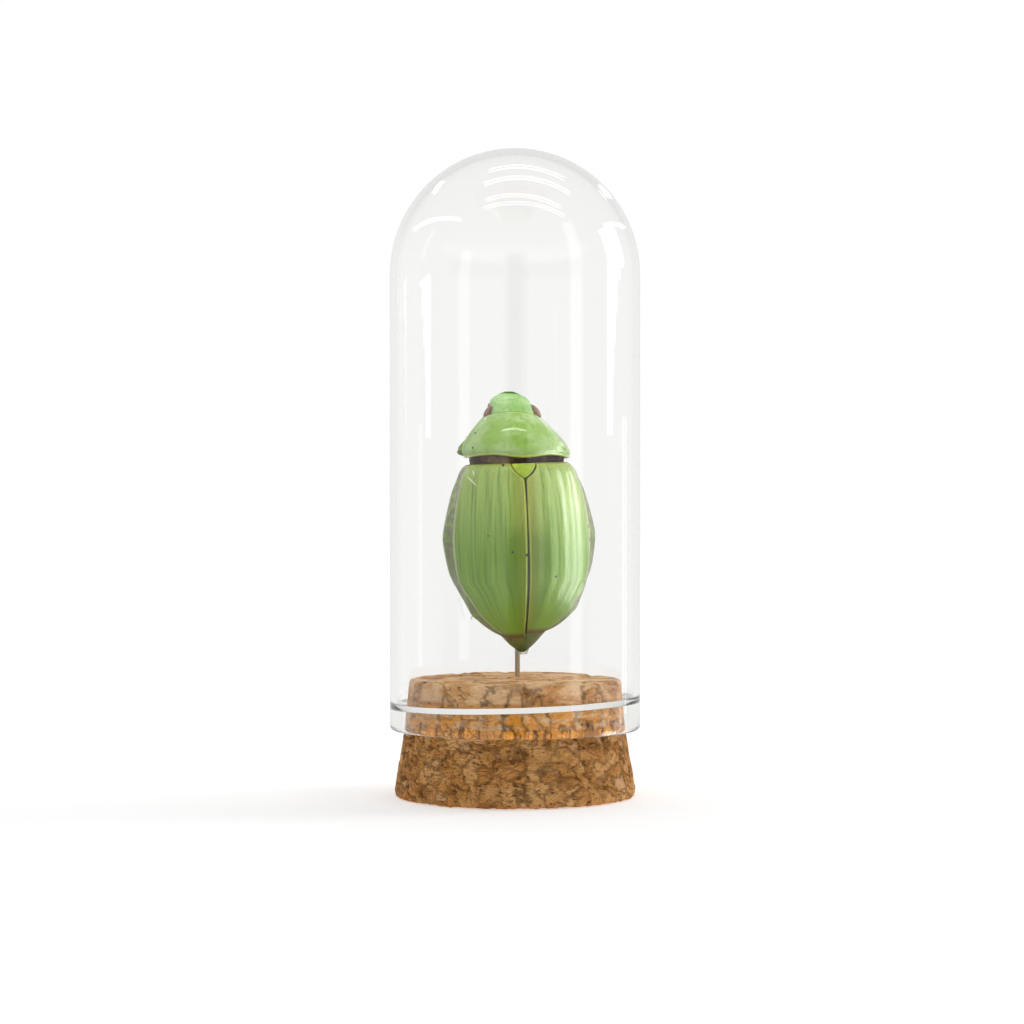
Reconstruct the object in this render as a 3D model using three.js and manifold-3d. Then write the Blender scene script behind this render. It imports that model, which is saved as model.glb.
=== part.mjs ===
// A green scarab beetle on a pin, under a small glass bell closed by a cork.
// Millimetres, +Z up. The origin is the centre of the cork's lower face.
// The beetle stands head up and shows its back towards -Y; its left side is at -X.

import * as THREE from "three";
import { mergeVertices } from "three/addons/utils/BufferGeometryUtils.js";
import Module from "manifold-3d";

// Glass bell: a straight tube with a hemispherical top and a thicker mouth.
const DOME_RADIUS = 15;
const DOME_HEIGHT = 69.5;
const DOME_WALL = 0.8;
const MOUTH_WALL = 1.5;
const MOUTH_HEIGHT = 3.6;
const MOUTH_Z = 8;
const RIM_ROUND = 0.5;
const DOME_SEGMENTS = 48;
const DOME_ARC_STEPS = 8;
const SHOULDER_RUN = 0.75;

// Cork: a tapered stopper, pressed a little narrower where it enters the glass.
const CORK_FOOT_RADIUS = 14.5;
const CORK_NECK_RADIUS = 13.3;
const CORK_TOP_RADIUS = 12.75;
const CORK_HEIGHT = 14.1;
const CORK_EDGE_ROUND = 0.4;
const CORK_SEGMENTS = 48;

// Pin: a steel wire that stands in the cork behind the beetle.
const PIN_RADIUS = 0.3;
const PIN_X = 0.3;
const PIN_Y = 4.5;
const PIN_FOOT_Z = 7;
const PIN_TOP_Z = 30.5;
const PIN_CLEARANCE = 0.03;
const PIN_SEGMENTS = 12;

// Glue bead on the pin, against the belly.
const GLUE_LOW_Z = 16.5;
const GLUE_HIGH_Z = 26;

// Beetle: lengths are taken along the body from the front edge of the wing cases.
const BEETLE_X = 0.2;
const BEETLE_Z = 39.8;
const BEETLE_YAW = THREE.MathUtils.degToRad(9);
const HIND_BODY_LEAN = THREE.MathUtils.degToRad(-1.7);
const FORE_BODY_DRIFT = -0.12;

const ELYTRON_THICKNESS = 0.45;
const ELYTRON_LENGTH = 20.4;
const ELYTRON_STEPS = 14;
const RIB_HEIGHT = 0.09;
const RIDGE_ANGLE = THREE.MathUtils.degToRad(64);
const RIDGE_HEIGHT = 0.14;
const RIDGE_SPREAD = 0.1;
const MARGIN_START = 1.05;
const MARGIN_END = 1.45;
const RIB_FADE_START = 11;
const RIB_FADE_END = 18;
const RIB_FADE = 0.7;
const DROP_START = 15;
const LEFT_ELYTRON_DROP = 0.5;
const SCUTELLUM_TILT = THREE.MathUtils.degToRad(17);
const UNDERBODY_GAP = 0.3;
const PIECE_GAP = 0.04;

const MESOTHORAX_END = 1.7;
const THORAX_END = 9.1;
const ABDOMEN_END = 18.9;
const BELLY_PLATES = 5;
const PLATE_STEP = 0.16;
const TAIL_END = 22.6;
const PRONOTUM_HIND = 0.75;
const PRONOTUM_FRONT = 6.15;
const HEAD_END = 8.65;
const EYE_CLEARANCE = 0.05;
const EYE_RADII = [0.95, 1, 0.8];
const EYE_X = 2.5;
const EYE_Y = -0.3;
const EYE_Z = 6.38;
const FRONT_ARCH = 0.046;
const HIND_WAVE = 0.17;
const HIND_WAVE_REACH = 3.6;
const RING_POINTS = 24;

const CHITIN_GREEN = 0x7fae54;
const CHITIN_YELLOW_GREEN = 0x9cbf4a;
const MEMBRANE_BROWN = 0x33231a;
const EYE_BROWN = 0x7b5347;
const LEG_GREEN = 0x6f9a4a;
const TARSUS_BROWN = 0x5a2a1c;

const wasm = await Module();
wasm.setup();

/** Smooth curve through [position, value] stations whose positions rise. */
function smoothCurve(stations) {
  const span = (i) => stations[i + 1][0] - stations[i][0];
  const rise = (i) => (stations[i + 1][1] - stations[i][1]) / span(i);
  const last = stations.length - 1;
  const slopes = stations.map((_, i) => {
    if (i === 0) return rise(0);
    if (i === last) return rise(last - 1);
    return (rise(i - 1) * span(i) + rise(i) * span(i - 1)) / (span(i - 1) + span(i));
  });
  return (position) => {
    let i = 0;
    while (i < last - 1 && position > stations[i + 1][0]) i += 1;
    const t = THREE.MathUtils.clamp((position - stations[i][0]) / span(i), 0, 1);
    const start = stations[i][1] * (1 + 2 * t) * (1 - t) ** 2 + stations[i + 1][1] * t * t * (3 - 2 * t);
    const bend = slopes[i] * t * (1 - t) ** 2 - slopes[i + 1] * t * t * (1 - t);
    return start + bend * span(i);
  };
}

// Wing cases: half width of the vault, of the outline seen from the back, and of the side margin
// that widens in the middle; height of the vault; half width of the gap along the suture.
const VAULT_WIDTH = smoothCurve([[0, 6.3], [0.4, 6.62], [2, 7.25], [5, 7.8], [9, 8.1], [12, 8.1],
  [14.2, 7.92], [16, 7.45], [18, 6.6], [20.4, 5.3]]);
const OUTLINE_WIDTH = smoothCurve([[0, 6.3], [0.4, 6.62], [2, 7.25], [5, 7.8], [9, 8.1], [12, 8.1],
  [14.2, 7.92], [16, 7.2], [17.8, 6], [19, 4.6], [19.8, 3.2], [20.4, 1.4]]);
const FLANGE_WIDTH = smoothCurve([[0, 0], [1.5, 0.08], [3.8, 0.45], [6, 0.76], [8.9, 1.06], [11, 0.78],
  [13, 0.42], [14.2, 0.06], [15, 0], [20.4, 0]]);
const VAULT_HEIGHT = smoothCurve([[0, 5.05], [0.4, 5.5], [2, 6.1], [5, 6.7], [9, 6.9], [12, 6.75],
  [15, 6], [17, 5.05], [18.8, 3.85], [20.4, 2.55]]);
const SUTURE_GAP = smoothCurve([[0, 1.52], [0.5, 1.44], [1, 1.17], [1.45, 0.73], [1.9, 0.15], [2.3, 0.06],
  [2.7, 0.06], [12, 0.08], [20.4, 0.2]]);
const ELYTRON_STATIONS = [0, 0.5, 1, 1.45, 1.9, 2.5, 4, 6, 7.6, 9, 11, 13, 14.4, 15.7, 17, 18, 18.8, 19.4,
  19.9, 20.3];

// Underside: how far the belly lies below the plane of the side margins.
const BELLY_DEPTH = smoothCurve([[0, 3.4], [3, 3.8], [9, 3.9], [13, 3.5], [17, 2.9], [22.6, 1]]);

function material(color, roughness, metalness = 0) {
  return new THREE.MeshStandardMaterial({ color, roughness, metalness });
}

function mesh(name, geometry, finish) {
  const piece = new THREE.Mesh(geometry, finish);
  piece.name = name;
  return piece;
}

/** Signed volume of an indexed geometry; it is negative when the faces point inwards. */
function signedVolume(geometry) {
  const position = geometry.getAttribute("position");
  const corner = (i) => new THREE.Vector3().fromBufferAttribute(position, geometry.index.getX(i));
  let volume = 0;
  for (let i = 0; i < geometry.index.count; i += 3) {
    volume += corner(i).dot(corner(i + 1).cross(corner(i + 2))) / 6;
  }
  return volume;
}

/** Closed skin over rings of equal length; both ends are closed by a ladder of faces. */
function skin(rings) {
  const count = rings[0].length;
  const half = count / 2;
  const index = [];
  const quad = (a, b, c, d) => index.push(a, b, c, a, c, d);
  for (let ring = 0; ring < rings.length - 1; ring += 1) {
    for (let i = 0; i < count; i += 1) {
      const start = ring * count;
      const next = (i + 1) % count;
      quad(start + i, start + next, start + count + next, start + count + i);
    }
  }
  const end = (rings.length - 1) * count;
  for (let i = 0; i < half - 1; i += 1) {
    const across = count - 1 - i;
    quad(i, across, across - 1, i + 1);
    quad(end + i, end + i + 1, end + across - 1, end + across);
  }
  const geometry = new THREE.BufferGeometry();
  const positions = rings.flat().flatMap((point) => point.toArray());
  geometry.setAttribute("position", new THREE.Float32BufferAttribute(positions, 3));
  geometry.setIndex(index);
  if (signedVolume(geometry) < 0) {
    for (let i = 0; i < index.length; i += 3) [index[i + 1], index[i + 2]] = [index[i + 2], index[i + 1]];
    geometry.setIndex(index);
  }
  geometry.computeVertexNormals();
  return geometry;
}

/** Ring round the body at height z: an oval with its own depth towards the back and the belly. */
function bodyRing({ z, width, back, belly, middle = 0, centre = 0, bow = 0 }, points = RING_POINTS) {
  return Array.from({ length: points }, (_, i) => {
    const angle = (2 * Math.PI * (i + 0.5)) / points;
    const x = width * Math.sin(angle);
    const towardsBack = Math.cos(angle);
    const y = middle - towardsBack * (towardsBack > 0 ? back : belly);
    return new THREE.Vector3(centre + x, y, z + bow * x * x);
  });
}

/** Revolved solid about Z from [radius, height] points that start and end on the axis. */
function revolved(profile, segments) {
  const points = profile.map(([radius, height]) => new THREE.Vector2(radius, height));
  const geometry = new THREE.LatheGeometry(points, segments);
  geometry.rotateX(Math.PI / 2);
  return geometry;
}

/** Quarter arcs and the like: [x, y] points on a circle between two angles in degrees. */
function arc(centreX, centreY, radius, fromDegrees, toDegrees, steps) {
  return Array.from({ length: steps + 1 }, (_, i) => {
    const angle = THREE.MathUtils.degToRad(fromDegrees + ((toDegrees - fromDegrees) * i) / steps);
    return [centreX + radius * Math.cos(angle), centreY + radius * Math.sin(angle)];
  });
}

/** Points on the axis have radius 0 exactly, so that the revolved ends close. */
function onAxis(points) {
  return points.map(([radius, height]) => [Math.abs(radius) < 1e-9 ? 0 : radius, height]);
}

/** A closed geometry as a manifold solid. */
function toSolid(geometry) {
  const bare = geometry.clone();
  bare.deleteAttribute("normal");
  bare.deleteAttribute("uv");
  const merged = mergeVertices(bare, 1e-4);
  return new wasm.Manifold(new wasm.Mesh({
    numProp: 3,
    vertProperties: merged.getAttribute("position").array,
    triVerts: new Uint32Array(merged.index.array),
  }));
}

/** A manifold solid back as a geometry. */
function toGeometry(solid) {
  const result = solid.getMesh();
  const geometry = new THREE.BufferGeometry();
  geometry.setAttribute("position", new THREE.BufferAttribute(new Float32Array(result.vertProperties), 3));
  geometry.setIndex(new THREE.BufferAttribute(new Uint32Array(result.triVerts), 1));
  geometry.computeVertexNormals();
  return geometry;
}

function cut(geometry, tool) {
  return toGeometry(toSolid(geometry).subtract(toSolid(tool)));
}

/** Upright round rod between two heights. */
function rod(radius, lowZ, highZ) {
  const geometry = new THREE.CylinderGeometry(radius, radius, highZ - lowZ, PIN_SEGMENTS);
  geometry.rotateX(Math.PI / 2);
  geometry.translate(PIN_X, PIN_Y, (lowZ + highZ) / 2);
  return geometry;
}

function glassDome() {
  const tube = DOME_RADIUS - DOME_WALL;
  const mouth = DOME_RADIUS - MOUTH_WALL;
  const arcCentre = MOUTH_Z + DOME_HEIGHT - DOME_RADIUS;
  const shoulder = MOUTH_Z + MOUTH_HEIGHT;
  const profile = [
    ...arc(0, arcCentre, tube, 90, 0, DOME_ARC_STEPS),
    [tube, shoulder + SHOULDER_RUN / 2],
    [mouth, shoulder - SHOULDER_RUN / 2],
    ...arc(mouth + RIM_ROUND, MOUTH_Z + RIM_ROUND, RIM_ROUND, 180, 270, 2),
    ...arc(DOME_RADIUS - RIM_ROUND, MOUTH_Z + RIM_ROUND, RIM_ROUND, 270, 360, 2),
    ...arc(0, arcCentre, DOME_RADIUS, 0, 90, DOME_ARC_STEPS),
  ];
  return mesh("glass_dome", revolved(onAxis(profile), DOME_SEGMENTS), material(0xf2f6f2, 0.03));
}

function corkBase() {
  const profile = [
    [0, 0],
    [CORK_FOOT_RADIUS - CORK_EDGE_ROUND, 0],
    [CORK_FOOT_RADIUS, CORK_EDGE_ROUND * 2],
    [CORK_NECK_RADIUS, MOUTH_Z],
    [CORK_TOP_RADIUS, CORK_HEIGHT - CORK_EDGE_ROUND],
    [CORK_TOP_RADIUS - CORK_EDGE_ROUND, CORK_HEIGHT],
    [0, CORK_HEIGHT],
  ];
  const stopper = revolved(profile, CORK_SEGMENTS);
  const hole = rod(PIN_RADIUS + PIN_CLEARANCE, PIN_FOOT_Z - PIN_CLEARANCE, CORK_HEIGHT + 1);
  return mesh("cork_base", cut(stopper, hole), material(0xb88c5f, 0.9));
}

function pin() {
  return mesh("pin", rod(PIN_RADIUS, PIN_FOOT_Z, PIN_TOP_Z), material(0xa8a293, 0.3, 1));
}

/** A long drop round the pin that reaches the belly; its lower end hangs over to the right. */
function glueBead() {
  const length = GLUE_HIGH_Z - GLUE_LOW_Z;
  const reach = smoothCurve([[0, 0.3], [0.2, 0.65], [0.45, 1.7], [0.6, 1.6], [0.8, 1.2], [1, 0.7]]);
  const rings = [0.02, 0.1, 0.22, 0.4, 0.6, 0.8, 0.93, 0.99].map((t) => {
    const swell = Math.sin(Math.PI * t) ** 0.75;
    return bodyRing({
      z: GLUE_LOW_Z + t * length,
      width: 0.25 + 1.5 * swell,
      back: 0.1 + reach(t) * swell,
      belly: 0.1 + 0.75 * swell,
      middle: PIN_Y + 0.05,
      centre: PIN_X + 0.75 * (1 - t) ** 2,
    }, 12);
  });
  const hole = rod(PIN_RADIUS + PIN_CLEARANCE, GLUE_LOW_Z - 1, GLUE_HIGH_Z + 1);
  return mesh("glue_bead", cut(skin(rings), hole), material(0xe8e2d2, 0.2));
}

/** One closed ring through a wing case: the ribbed outer face, then the inner face back. */
function elytronRing(distance, side) {
  const vault = VAULT_WIDTH(distance);
  const height = VAULT_HEIGHT(distance);
  const flange = FLANGE_WIDTH(distance);
  const gap = SUTURE_GAP(distance);
  const marginAngle = Math.asin(Math.min(1, OUTLINE_WIDTH(distance) / vault));
  const drop = LEFT_ELYTRON_DROP * THREE.MathUtils.smoothstep(distance, DROP_START, ELYTRON_LENGTH);
  const z = -distance - (side < 0 ? drop : 0);
  const faded = RIB_FADE * THREE.MathUtils.smoothstep(distance, RIB_FADE_START, RIB_FADE_END);
  const ribHeight = RIB_HEIGHT * (1 - faded);
  const face = (inset, step) => {
    const sutureAngle = Math.asin(gap / (vault - inset));
    const angle = THREE.MathUtils.lerp(sutureAngle, marginAngle, step / ELYTRON_STEPS);
    const onRib = inset === 0 && step % 2 === 1 ? ribHeight : 0;
    const ridge = inset === 0 ? RIDGE_HEIGHT * Math.exp(-(((angle - RIDGE_ANGLE) / RIDGE_SPREAD) ** 2)) : 0;
    const relief = onRib + ridge - inset;
    const spread = flange * THREE.MathUtils.smoothstep(angle, MARGIN_START, MARGIN_END);
    const x = (vault + relief) * Math.sin(angle) + spread;
    return new THREE.Vector3(side * x, -(height + relief) * Math.cos(angle), z);
  };
  const steps = Array.from({ length: ELYTRON_STEPS + 1 }, (_, step) => step);
  const outer = steps.map((step) => face(0, step));
  const inner = steps.map((step) => face(ELYTRON_THICKNESS, step)).reverse();
  return [...outer, ...inner];
}

function elytron(name, side) {
  const rings = ELYTRON_STATIONS.map((distance) => elytronRing(distance, side));
  return mesh(name, skin(rings), material(CHITIN_GREEN, 0.3));
}

/** Shield between the wing cases, level with them. */
function scutellum() {
  const halfWidth = 1.42;
  const length = 1.85;
  const thickness = 0.45;
  const outline = new THREE.Shape();
  outline.moveTo(-halfWidth, 0);
  outline.quadraticCurveTo(-halfWidth, -0.55 * length, 0, -length);
  outline.quadraticCurveTo(halfWidth, -0.55 * length, halfWidth, 0);
  outline.closePath();
  const geometry = new THREE.ExtrudeGeometry(outline, {
    depth: thickness, bevelEnabled: false, curveSegments: 5,
  });
  geometry.rotateX(Math.PI / 2);
  const plate = mesh("scutellum", geometry, material(CHITIN_YELLOW_GREEN, 0.3));
  plate.rotation.x = -SCUTELLUM_TILT;
  plate.position.set(0, -5.12, -0.05);
  return plate;
}

/** Dark body between shield and wing cases, and on under their front edge. */
function mesothorax() {
  const rings = [-1.05, -0.1, 0.3, MESOTHORAX_END].map((distance) => bodyRing({
    z: -distance,
    width: 5.7,
    back: 4.5,
    belly: 2.7,
  }));
  return mesh("mesothorax", skin(rings), material(MEMBRANE_BROWN, 0.6));
}

/** Ring of the trunk under the wing cases; swell moves its underside out. */
function trunkRing(distance, swell = 0) {
  const clear = ELYTRON_THICKNESS + UNDERBODY_GAP;
  const width = Math.min(VAULT_WIDTH(distance), OUTLINE_WIDTH(distance) + 0.2) - clear;
  return bodyRing({
    z: -distance,
    width,
    back: VAULT_HEIGHT(distance) - clear,
    belly: BELLY_DEPTH(distance) + swell,
  });
}

function thorax() {
  const stations = [MESOTHORAX_END + PIECE_GAP, 3, 5, 7, THORAX_END];
  const rings = stations.map((distance) => trunkRing(distance));
  return mesh("thorax", skin(rings), material(LEG_GREEN, 0.4));
}

function abdomen() {
  const start = THORAX_END + PIECE_GAP;
  const plate = (ABDOMEN_END - start) / BELLY_PLATES;
  const rings = Array.from({ length: BELLY_PLATES }, (_, i) => [
    trunkRing(start + i * plate, i === 0 ? 0 : -PLATE_STEP),
    trunkRing(start + (i + 0.95) * plate, 0),
  ]).flat();
  rings.push(trunkRing(ABDOMEN_END, -PLATE_STEP));
  return mesh("abdomen", skin(rings), material(LEG_GREEN, 0.4));
}

/** Tail plate with the last ring of the belly. */
function pygidium() {
  const width = smoothCurve([[19, 4.1], [19.8, 3.3], [20.8, 2.3], [21.7, 1.45], [22.6, 0.3]]);
  const back = smoothCurve([[19, 2.8], [20.4, 2.05], [21.6, 1.05], [22.6, -0.4]]);
  const stations = [ABDOMEN_END + PIECE_GAP, 19.7, 20.4, 21.1, 21.8, 22.3, TAIL_END];
  const rings = stations.map((distance) => bodyRing({
    z: -distance,
    width: width(distance),
    back: back(distance),
    belly: BELLY_DEPTH(distance),
  }, 16));
  return mesh("pygidium", skin(rings), material(0x4f7a35, 0.35));
}

/** Shield behind the head, closed underneath; its hind edge is gently waved and hollow behind. */
function pronotumShape() {
  const width = smoothCurve([[0.75, 6.3], [1.1, 6.45], [2.4, 6.3], [3.6, 5.6], [5.1, 4.3], [6.15, 3.35]]);
  const back = smoothCurve([[0.75, 5.1], [1.1, 5.45], [2.4, 5.35], [3.6, 4.75], [5.1, 3.5], [6.15, 2.35]]);
  const heights = [PRONOTUM_HIND, 1.1, 1.8, 2.6, 3.5, 4.4, 5.2, 5.8, PRONOTUM_FRONT];
  const rings = heights.map((z) => {
    const forward = (z - PRONOTUM_HIND) / (PRONOTUM_FRONT - PRONOTUM_HIND);
    const ring = bodyRing({
      z,
      width: width(z),
      back: back(z),
      belly: 3.1 - 0.6 * forward,
      centre: FORE_BODY_DRIFT * (z - PRONOTUM_HIND),
      bow: -FRONT_ARCH * forward * forward,
    }, 28);
    const wave = HIND_WAVE * (1 - forward) ** 4;
    ring.forEach((point) => { point.z -= wave * Math.cos((Math.PI * point.x) / HIND_WAVE_REACH); });
    return ring;
  });
  const recess = bodyRing({ z: PRONOTUM_HIND + 0.5, width: 6.05, back: 4.85, belly: 2.85 }, 28);
  return skin([recess, ...rings]);
}

function pronotum() {
  return mesh("pronotum", pronotumShape(), material(CHITIN_GREEN, 0.25));
}

/** Head as a solid; grow makes it wider, for cutting what is set into it. */
function headShape(grow) {
  const width = smoothCurve([[6.27, 2.4], [6.9, 2.4], [7.3, 2.5], [7.9, 2.1], [8.35, 1.3], [8.65, 0.5]]);
  const back = smoothCurve([[6.27, 2.25], [7.3, 1.5], [8, 0.6], [8.65, -0.6]]);
  const belly = smoothCurve([[6.27, 2.3], [7.3, 2.2], [8.1, 1.8], [8.65, 1.2]]);
  const heights = [PRONOTUM_FRONT + PIECE_GAP, 6.7, 7.2, 7.7, 8.1, 8.4, HEAD_END];
  const rings = heights.map((z) => bodyRing({
    z,
    width: width(z) + grow,
    back: back(z) + grow,
    belly: belly(z),
    centre: FORE_BODY_DRIFT * (z - PRONOTUM_HIND),
    bow: -FRONT_ARCH,
  }, 20));
  return skin(rings);
}

function head() {
  return mesh("head", headShape(0), material(CHITIN_GREEN, 0.35));
}

/** Round eye, let into the side of the head and resting against the shield. */
function eye(name, side) {
  const ball = new THREE.SphereGeometry(1, 12, 8);
  ball.scale(...EYE_RADII);
  ball.translate(FORE_BODY_DRIFT * (EYE_Z - PRONOTUM_HIND) + side * EYE_X, EYE_Y, EYE_Z);
  const shield = pronotumShape();
  shield.translate(0, 0, EYE_CLEARANCE);
  const socketed = cut(cut(ball, headShape(EYE_CLEARANCE)), shield);
  return mesh(name, socketed, material(EYE_BROWN, 0.3));
}

/** Tapered limb through a row of points, with one radius at each point. */
function limb(name, points, radii, finish, sides = 8) {
  const path = new THREE.CatmullRomCurve3(points);
  const steps = 5;
  const radius = smoothCurve(radii.map((value, i) => [i / (radii.length - 1), value]));
  const direction = points[points.length - 1].clone().sub(points[0]).normalize();
  const first = new THREE.Vector3(0, 1, 0).cross(direction).normalize();
  const second = direction.clone().cross(first);
  const rings = Array.from({ length: steps + 1 }, (_, step) => {
    const t = step / steps;
    const centre = path.getPoint(t);
    const size = radius(t) * (step === 0 || step === steps ? 0.6 : 1);
    return Array.from({ length: sides }, (_unused, i) => {
      const angle = (2 * Math.PI * (i + 0.5)) / sides;
      return centre.clone()
        .addScaledVector(first, size * Math.cos(angle))
        .addScaledVector(second, size * Math.sin(angle));
    });
  });
  return mesh(name, skin(rings), finish);
}

function antenna(name, side) {
  const drift = FORE_BODY_DRIFT * (EYE_Z - PRONOTUM_HIND);
  const points = [[1.5, 2.75, 7.7], [2.15, 3.0, 7.3], [2.3, 3.1, 6.6], [1.9, 3.0, 5.9]]
    .map(([x, y, z]) => new THREE.Vector3(drift + side * x, y, z));
  return limb(name, points, [0.12, 0.14, 0.2, 0.3], material(TARSUS_BROWN, 0.5), 6);
}

// Legs folded under the body: joints from hip to claw at the right side, and their thickness.
const LEGS = {
  front: {
    hip: [1.5, 3.7, 2], knee: [5.85, 2.75, 1.55], ankle: [2.6, 4.2, 4.9], claw: [1.3, 4.3, 1.9],
    thickness: [0.75, 0.5, 0.22],
  },
  middle: {
    hip: [1.6, 4.45, -3.2], knee: [7, 3.3, -5.5], ankle: [4.2, 5.6, -10.2], claw: [3.2, 5.9, -14.2],
    thickness: [0.8, 0.5, 0.22],
  },
  hind: {
    hip: [2.5, 4.45, -8.2], knee: [6.7, 3.4, -12.2], ankle: [4.6, 4.3, -16.2], claw: [3.2, 4.8, -19.6],
    thickness: [0.9, 0.55, 0.24],
  },
};
// Where the left side differs: the front knee stands out, and the hind claw shows past the tail.
const LEFT_JOINTS = {
  front: { knee: [6.45, 2.6, 1.45] },
  middle: {},
  hind: { ankle: [4.9, 4.3, -15.6], claw: [5.35, 3.4, -18.25] },
};

/** Femur, tibia and tarsus of one leg, each with a small gap to the next. */
function leg(pair, sideName, side) {
  const own = side < 0 ? { ...LEGS[pair], ...LEFT_JOINTS[pair] } : LEGS[pair];
  const joint = (key) => new THREE.Vector3(side * own[key][0], own[key][1], own[key][2]);
  const [femurSize, tibiaSize, tarsusSize] = own.thickness;
  const segment = (part, fromKey, toKey, radii, startGap, lift, finish, sides = 8) => {
    const from = joint(fromKey).add(new THREE.Vector3(0, lift, 0));
    const to = joint(toKey);
    const along = to.clone().sub(from).normalize();
    const start = from.clone().addScaledVector(along, startGap);
    const end = to.clone().addScaledVector(along, -0.1);
    const middle = start.clone().lerp(end, 0.5).add(new THREE.Vector3(side * 0.12, 0, 0));
    return limb(`${pair}_${sideName}_${part}`, [start, middle, end], radii, finish, sides);
  };
  return [
    segment("femur", "hip", "knee", [femurSize * 0.8, femurSize, femurSize * 0.6], 0.1, 0,
      material(LEG_GREEN, 0.35)),
    segment("tibia", "knee", "ankle", [tibiaSize * 0.7, tibiaSize, tibiaSize * 0.9], 0.45, 0.5,
      material(LEG_GREEN, 0.4)),
    segment("tarsus", "ankle", "claw", [tarsusSize * 1.1, tarsusSize, tarsusSize * 0.9], 0.05, 0,
      material(TARSUS_BROWN, 0.45), 6),
  ];
}

function beetle() {
  const body = new THREE.Group();
  body.position.set(BEETLE_X, 0, BEETLE_Z);
  body.rotation.z = BEETLE_YAW;
  const foreBody = new THREE.Group();
  foreBody.add(
    pronotum(), head(), eye("eye_left", -1), eye("eye_right", 1), antenna("antenna_left", -1),
    antenna("antenna_right", 1), ...leg("front", "left", -1), ...leg("front", "right", 1),
  );
  const hindBody = new THREE.Group();
  hindBody.rotation.y = HIND_BODY_LEAN;
  hindBody.add(
    mesothorax(), scutellum(), elytron("elytron_left", -1), elytron("elytron_right", 1), thorax(),
    abdomen(), pygidium(), ...leg("middle", "left", -1), ...leg("middle", "right", 1),
    ...leg("hind", "left", -1), ...leg("hind", "right", 1),
  );
  body.add(foreBody, hindBody);
  return body;
}

const part = new THREE.Group();
part.add(glassDome(), corkBase(), pin(), glueBead(), beetle());

export default part;
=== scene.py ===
"""A green ribbed scarab beetle on a pin, under a small glass bell that a cork closes.

Sizes are written in millimetres and turned to metres where a mesh is made. +Z is up, the origin is
the centre of the cork's lower face, and the beetle shows its back towards -Y.
"""

import logging
import math
import random
from dataclasses import dataclass, field
from enum import Enum
from typing import Callable, Iterable, Protocol, Sequence

import bmesh
import bpy
from mathutils import Matrix, Vector, kdtree, noise


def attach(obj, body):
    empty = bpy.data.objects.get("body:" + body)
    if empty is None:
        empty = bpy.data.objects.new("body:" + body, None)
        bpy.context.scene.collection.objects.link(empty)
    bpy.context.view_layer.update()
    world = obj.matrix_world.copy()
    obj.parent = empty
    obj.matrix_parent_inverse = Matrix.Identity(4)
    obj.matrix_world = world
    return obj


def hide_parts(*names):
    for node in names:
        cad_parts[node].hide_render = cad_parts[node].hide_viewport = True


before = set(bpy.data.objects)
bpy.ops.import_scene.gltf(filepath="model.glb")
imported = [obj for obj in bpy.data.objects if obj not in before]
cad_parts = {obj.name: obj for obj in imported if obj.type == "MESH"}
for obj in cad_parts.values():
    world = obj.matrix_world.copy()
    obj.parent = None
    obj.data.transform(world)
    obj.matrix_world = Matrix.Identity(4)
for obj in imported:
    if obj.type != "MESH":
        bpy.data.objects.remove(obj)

MM = 0.001
BODY = "root"
# X and Y of the pin, and the length and rib count of a wing case.
PIN_PLACE = (0.3, 4.5)
CASE_LENGTH = 20.4
CASE_RIBS = 7

Point = tuple[float, float]
Ring = list[Vector]
Section = Callable[[float], float]
Radial = Callable[[float, float], float]
Tree = bpy.types.NodeTree
Socket = bpy.types.NodeSocket

log = logging.getLogger("insect_dome")


# Small shared helpers ---------------------------------------------------------------------------


def mix(a: float, b: float, t: float) -> float:
    """Blend a and b by t."""
    return a + (b - a) * t


def smoothstep(low: float, high: float, value: float) -> float:
    """0 below low, 1 above high and a soft rise between."""
    t = min(max((value - low) / (high - low), 0.0), 1.0)
    return t * t * (3 - 2 * t)


def bell(value: float, centre: float, spread: float) -> float:
    """Bell curve of height 1."""
    return math.exp(-(((value - centre) / spread) ** 2))


class SmoothCurve:
    """A smooth curve through (position, value) stations whose positions rise."""

    def __init__(self, *stations: Point) -> None:
        """Work out the slope at each station.

        Args:
            stations: (position, value) pairs.
        """
        self.at = [s[0] for s in stations]
        self.value = [s[1] for s in stations]
        last = len(stations) - 1
        span = [self.at[i + 1] - self.at[i] for i in range(last)]
        rise = [(self.value[i + 1] - self.value[i]) / span[i] for i in range(last)]
        inner = [
            (rise[i - 1] * span[i] + rise[i] * span[i - 1]) / (span[i - 1] + span[i])
            for i in range(1, last)
        ]
        self.slope = [rise[0], *inner, rise[-1]]

    def __call__(self, position: float) -> float:
        """Value at a position, held at the ends."""
        i = 0
        while i < len(self.at) - 2 and position > self.at[i + 1]:
            i += 1
        span = self.at[i + 1] - self.at[i]
        t = min(max((position - self.at[i]) / span, 0.0), 1.0)
        value = self.value[i] * (1 + 2 * t) * (1 - t) ** 2
        value += self.value[i + 1] * t * t * (3 - 2 * t)
        bend = self.slope[i] * t * (1 - t) ** 2 - self.slope[i + 1] * t * t * (1 - t)
        return value + bend * span


def spaced(low: float, high: float, count: int) -> list[float]:
    """Evenly spaced values from low to high, both ends included."""
    return [mix(low, high, i / (count - 1)) for i in range(count)]


def linear(hex_colour: str) -> tuple[float, float, float, float]:
    """Turn an sRGB hex colour such as "#9fba58" to linear RGBA."""
    parts = [int(hex_colour[i : i + 2], 16) / 255 for i in (1, 3, 5)]
    rgb = [c / 12.92 if c <= 0.04045 else ((c + 0.055) / 1.055) ** 2.4 for c in parts]
    return (rgb[0], rgb[1], rgb[2], 1.0)


# Modelling --------------------------------------------------------------------------------------


def deselect() -> None:
    """Clear the selection, so that an operator acts on its own piece alone."""
    bpy.ops.object.select_all(action="DESELECT")


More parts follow.
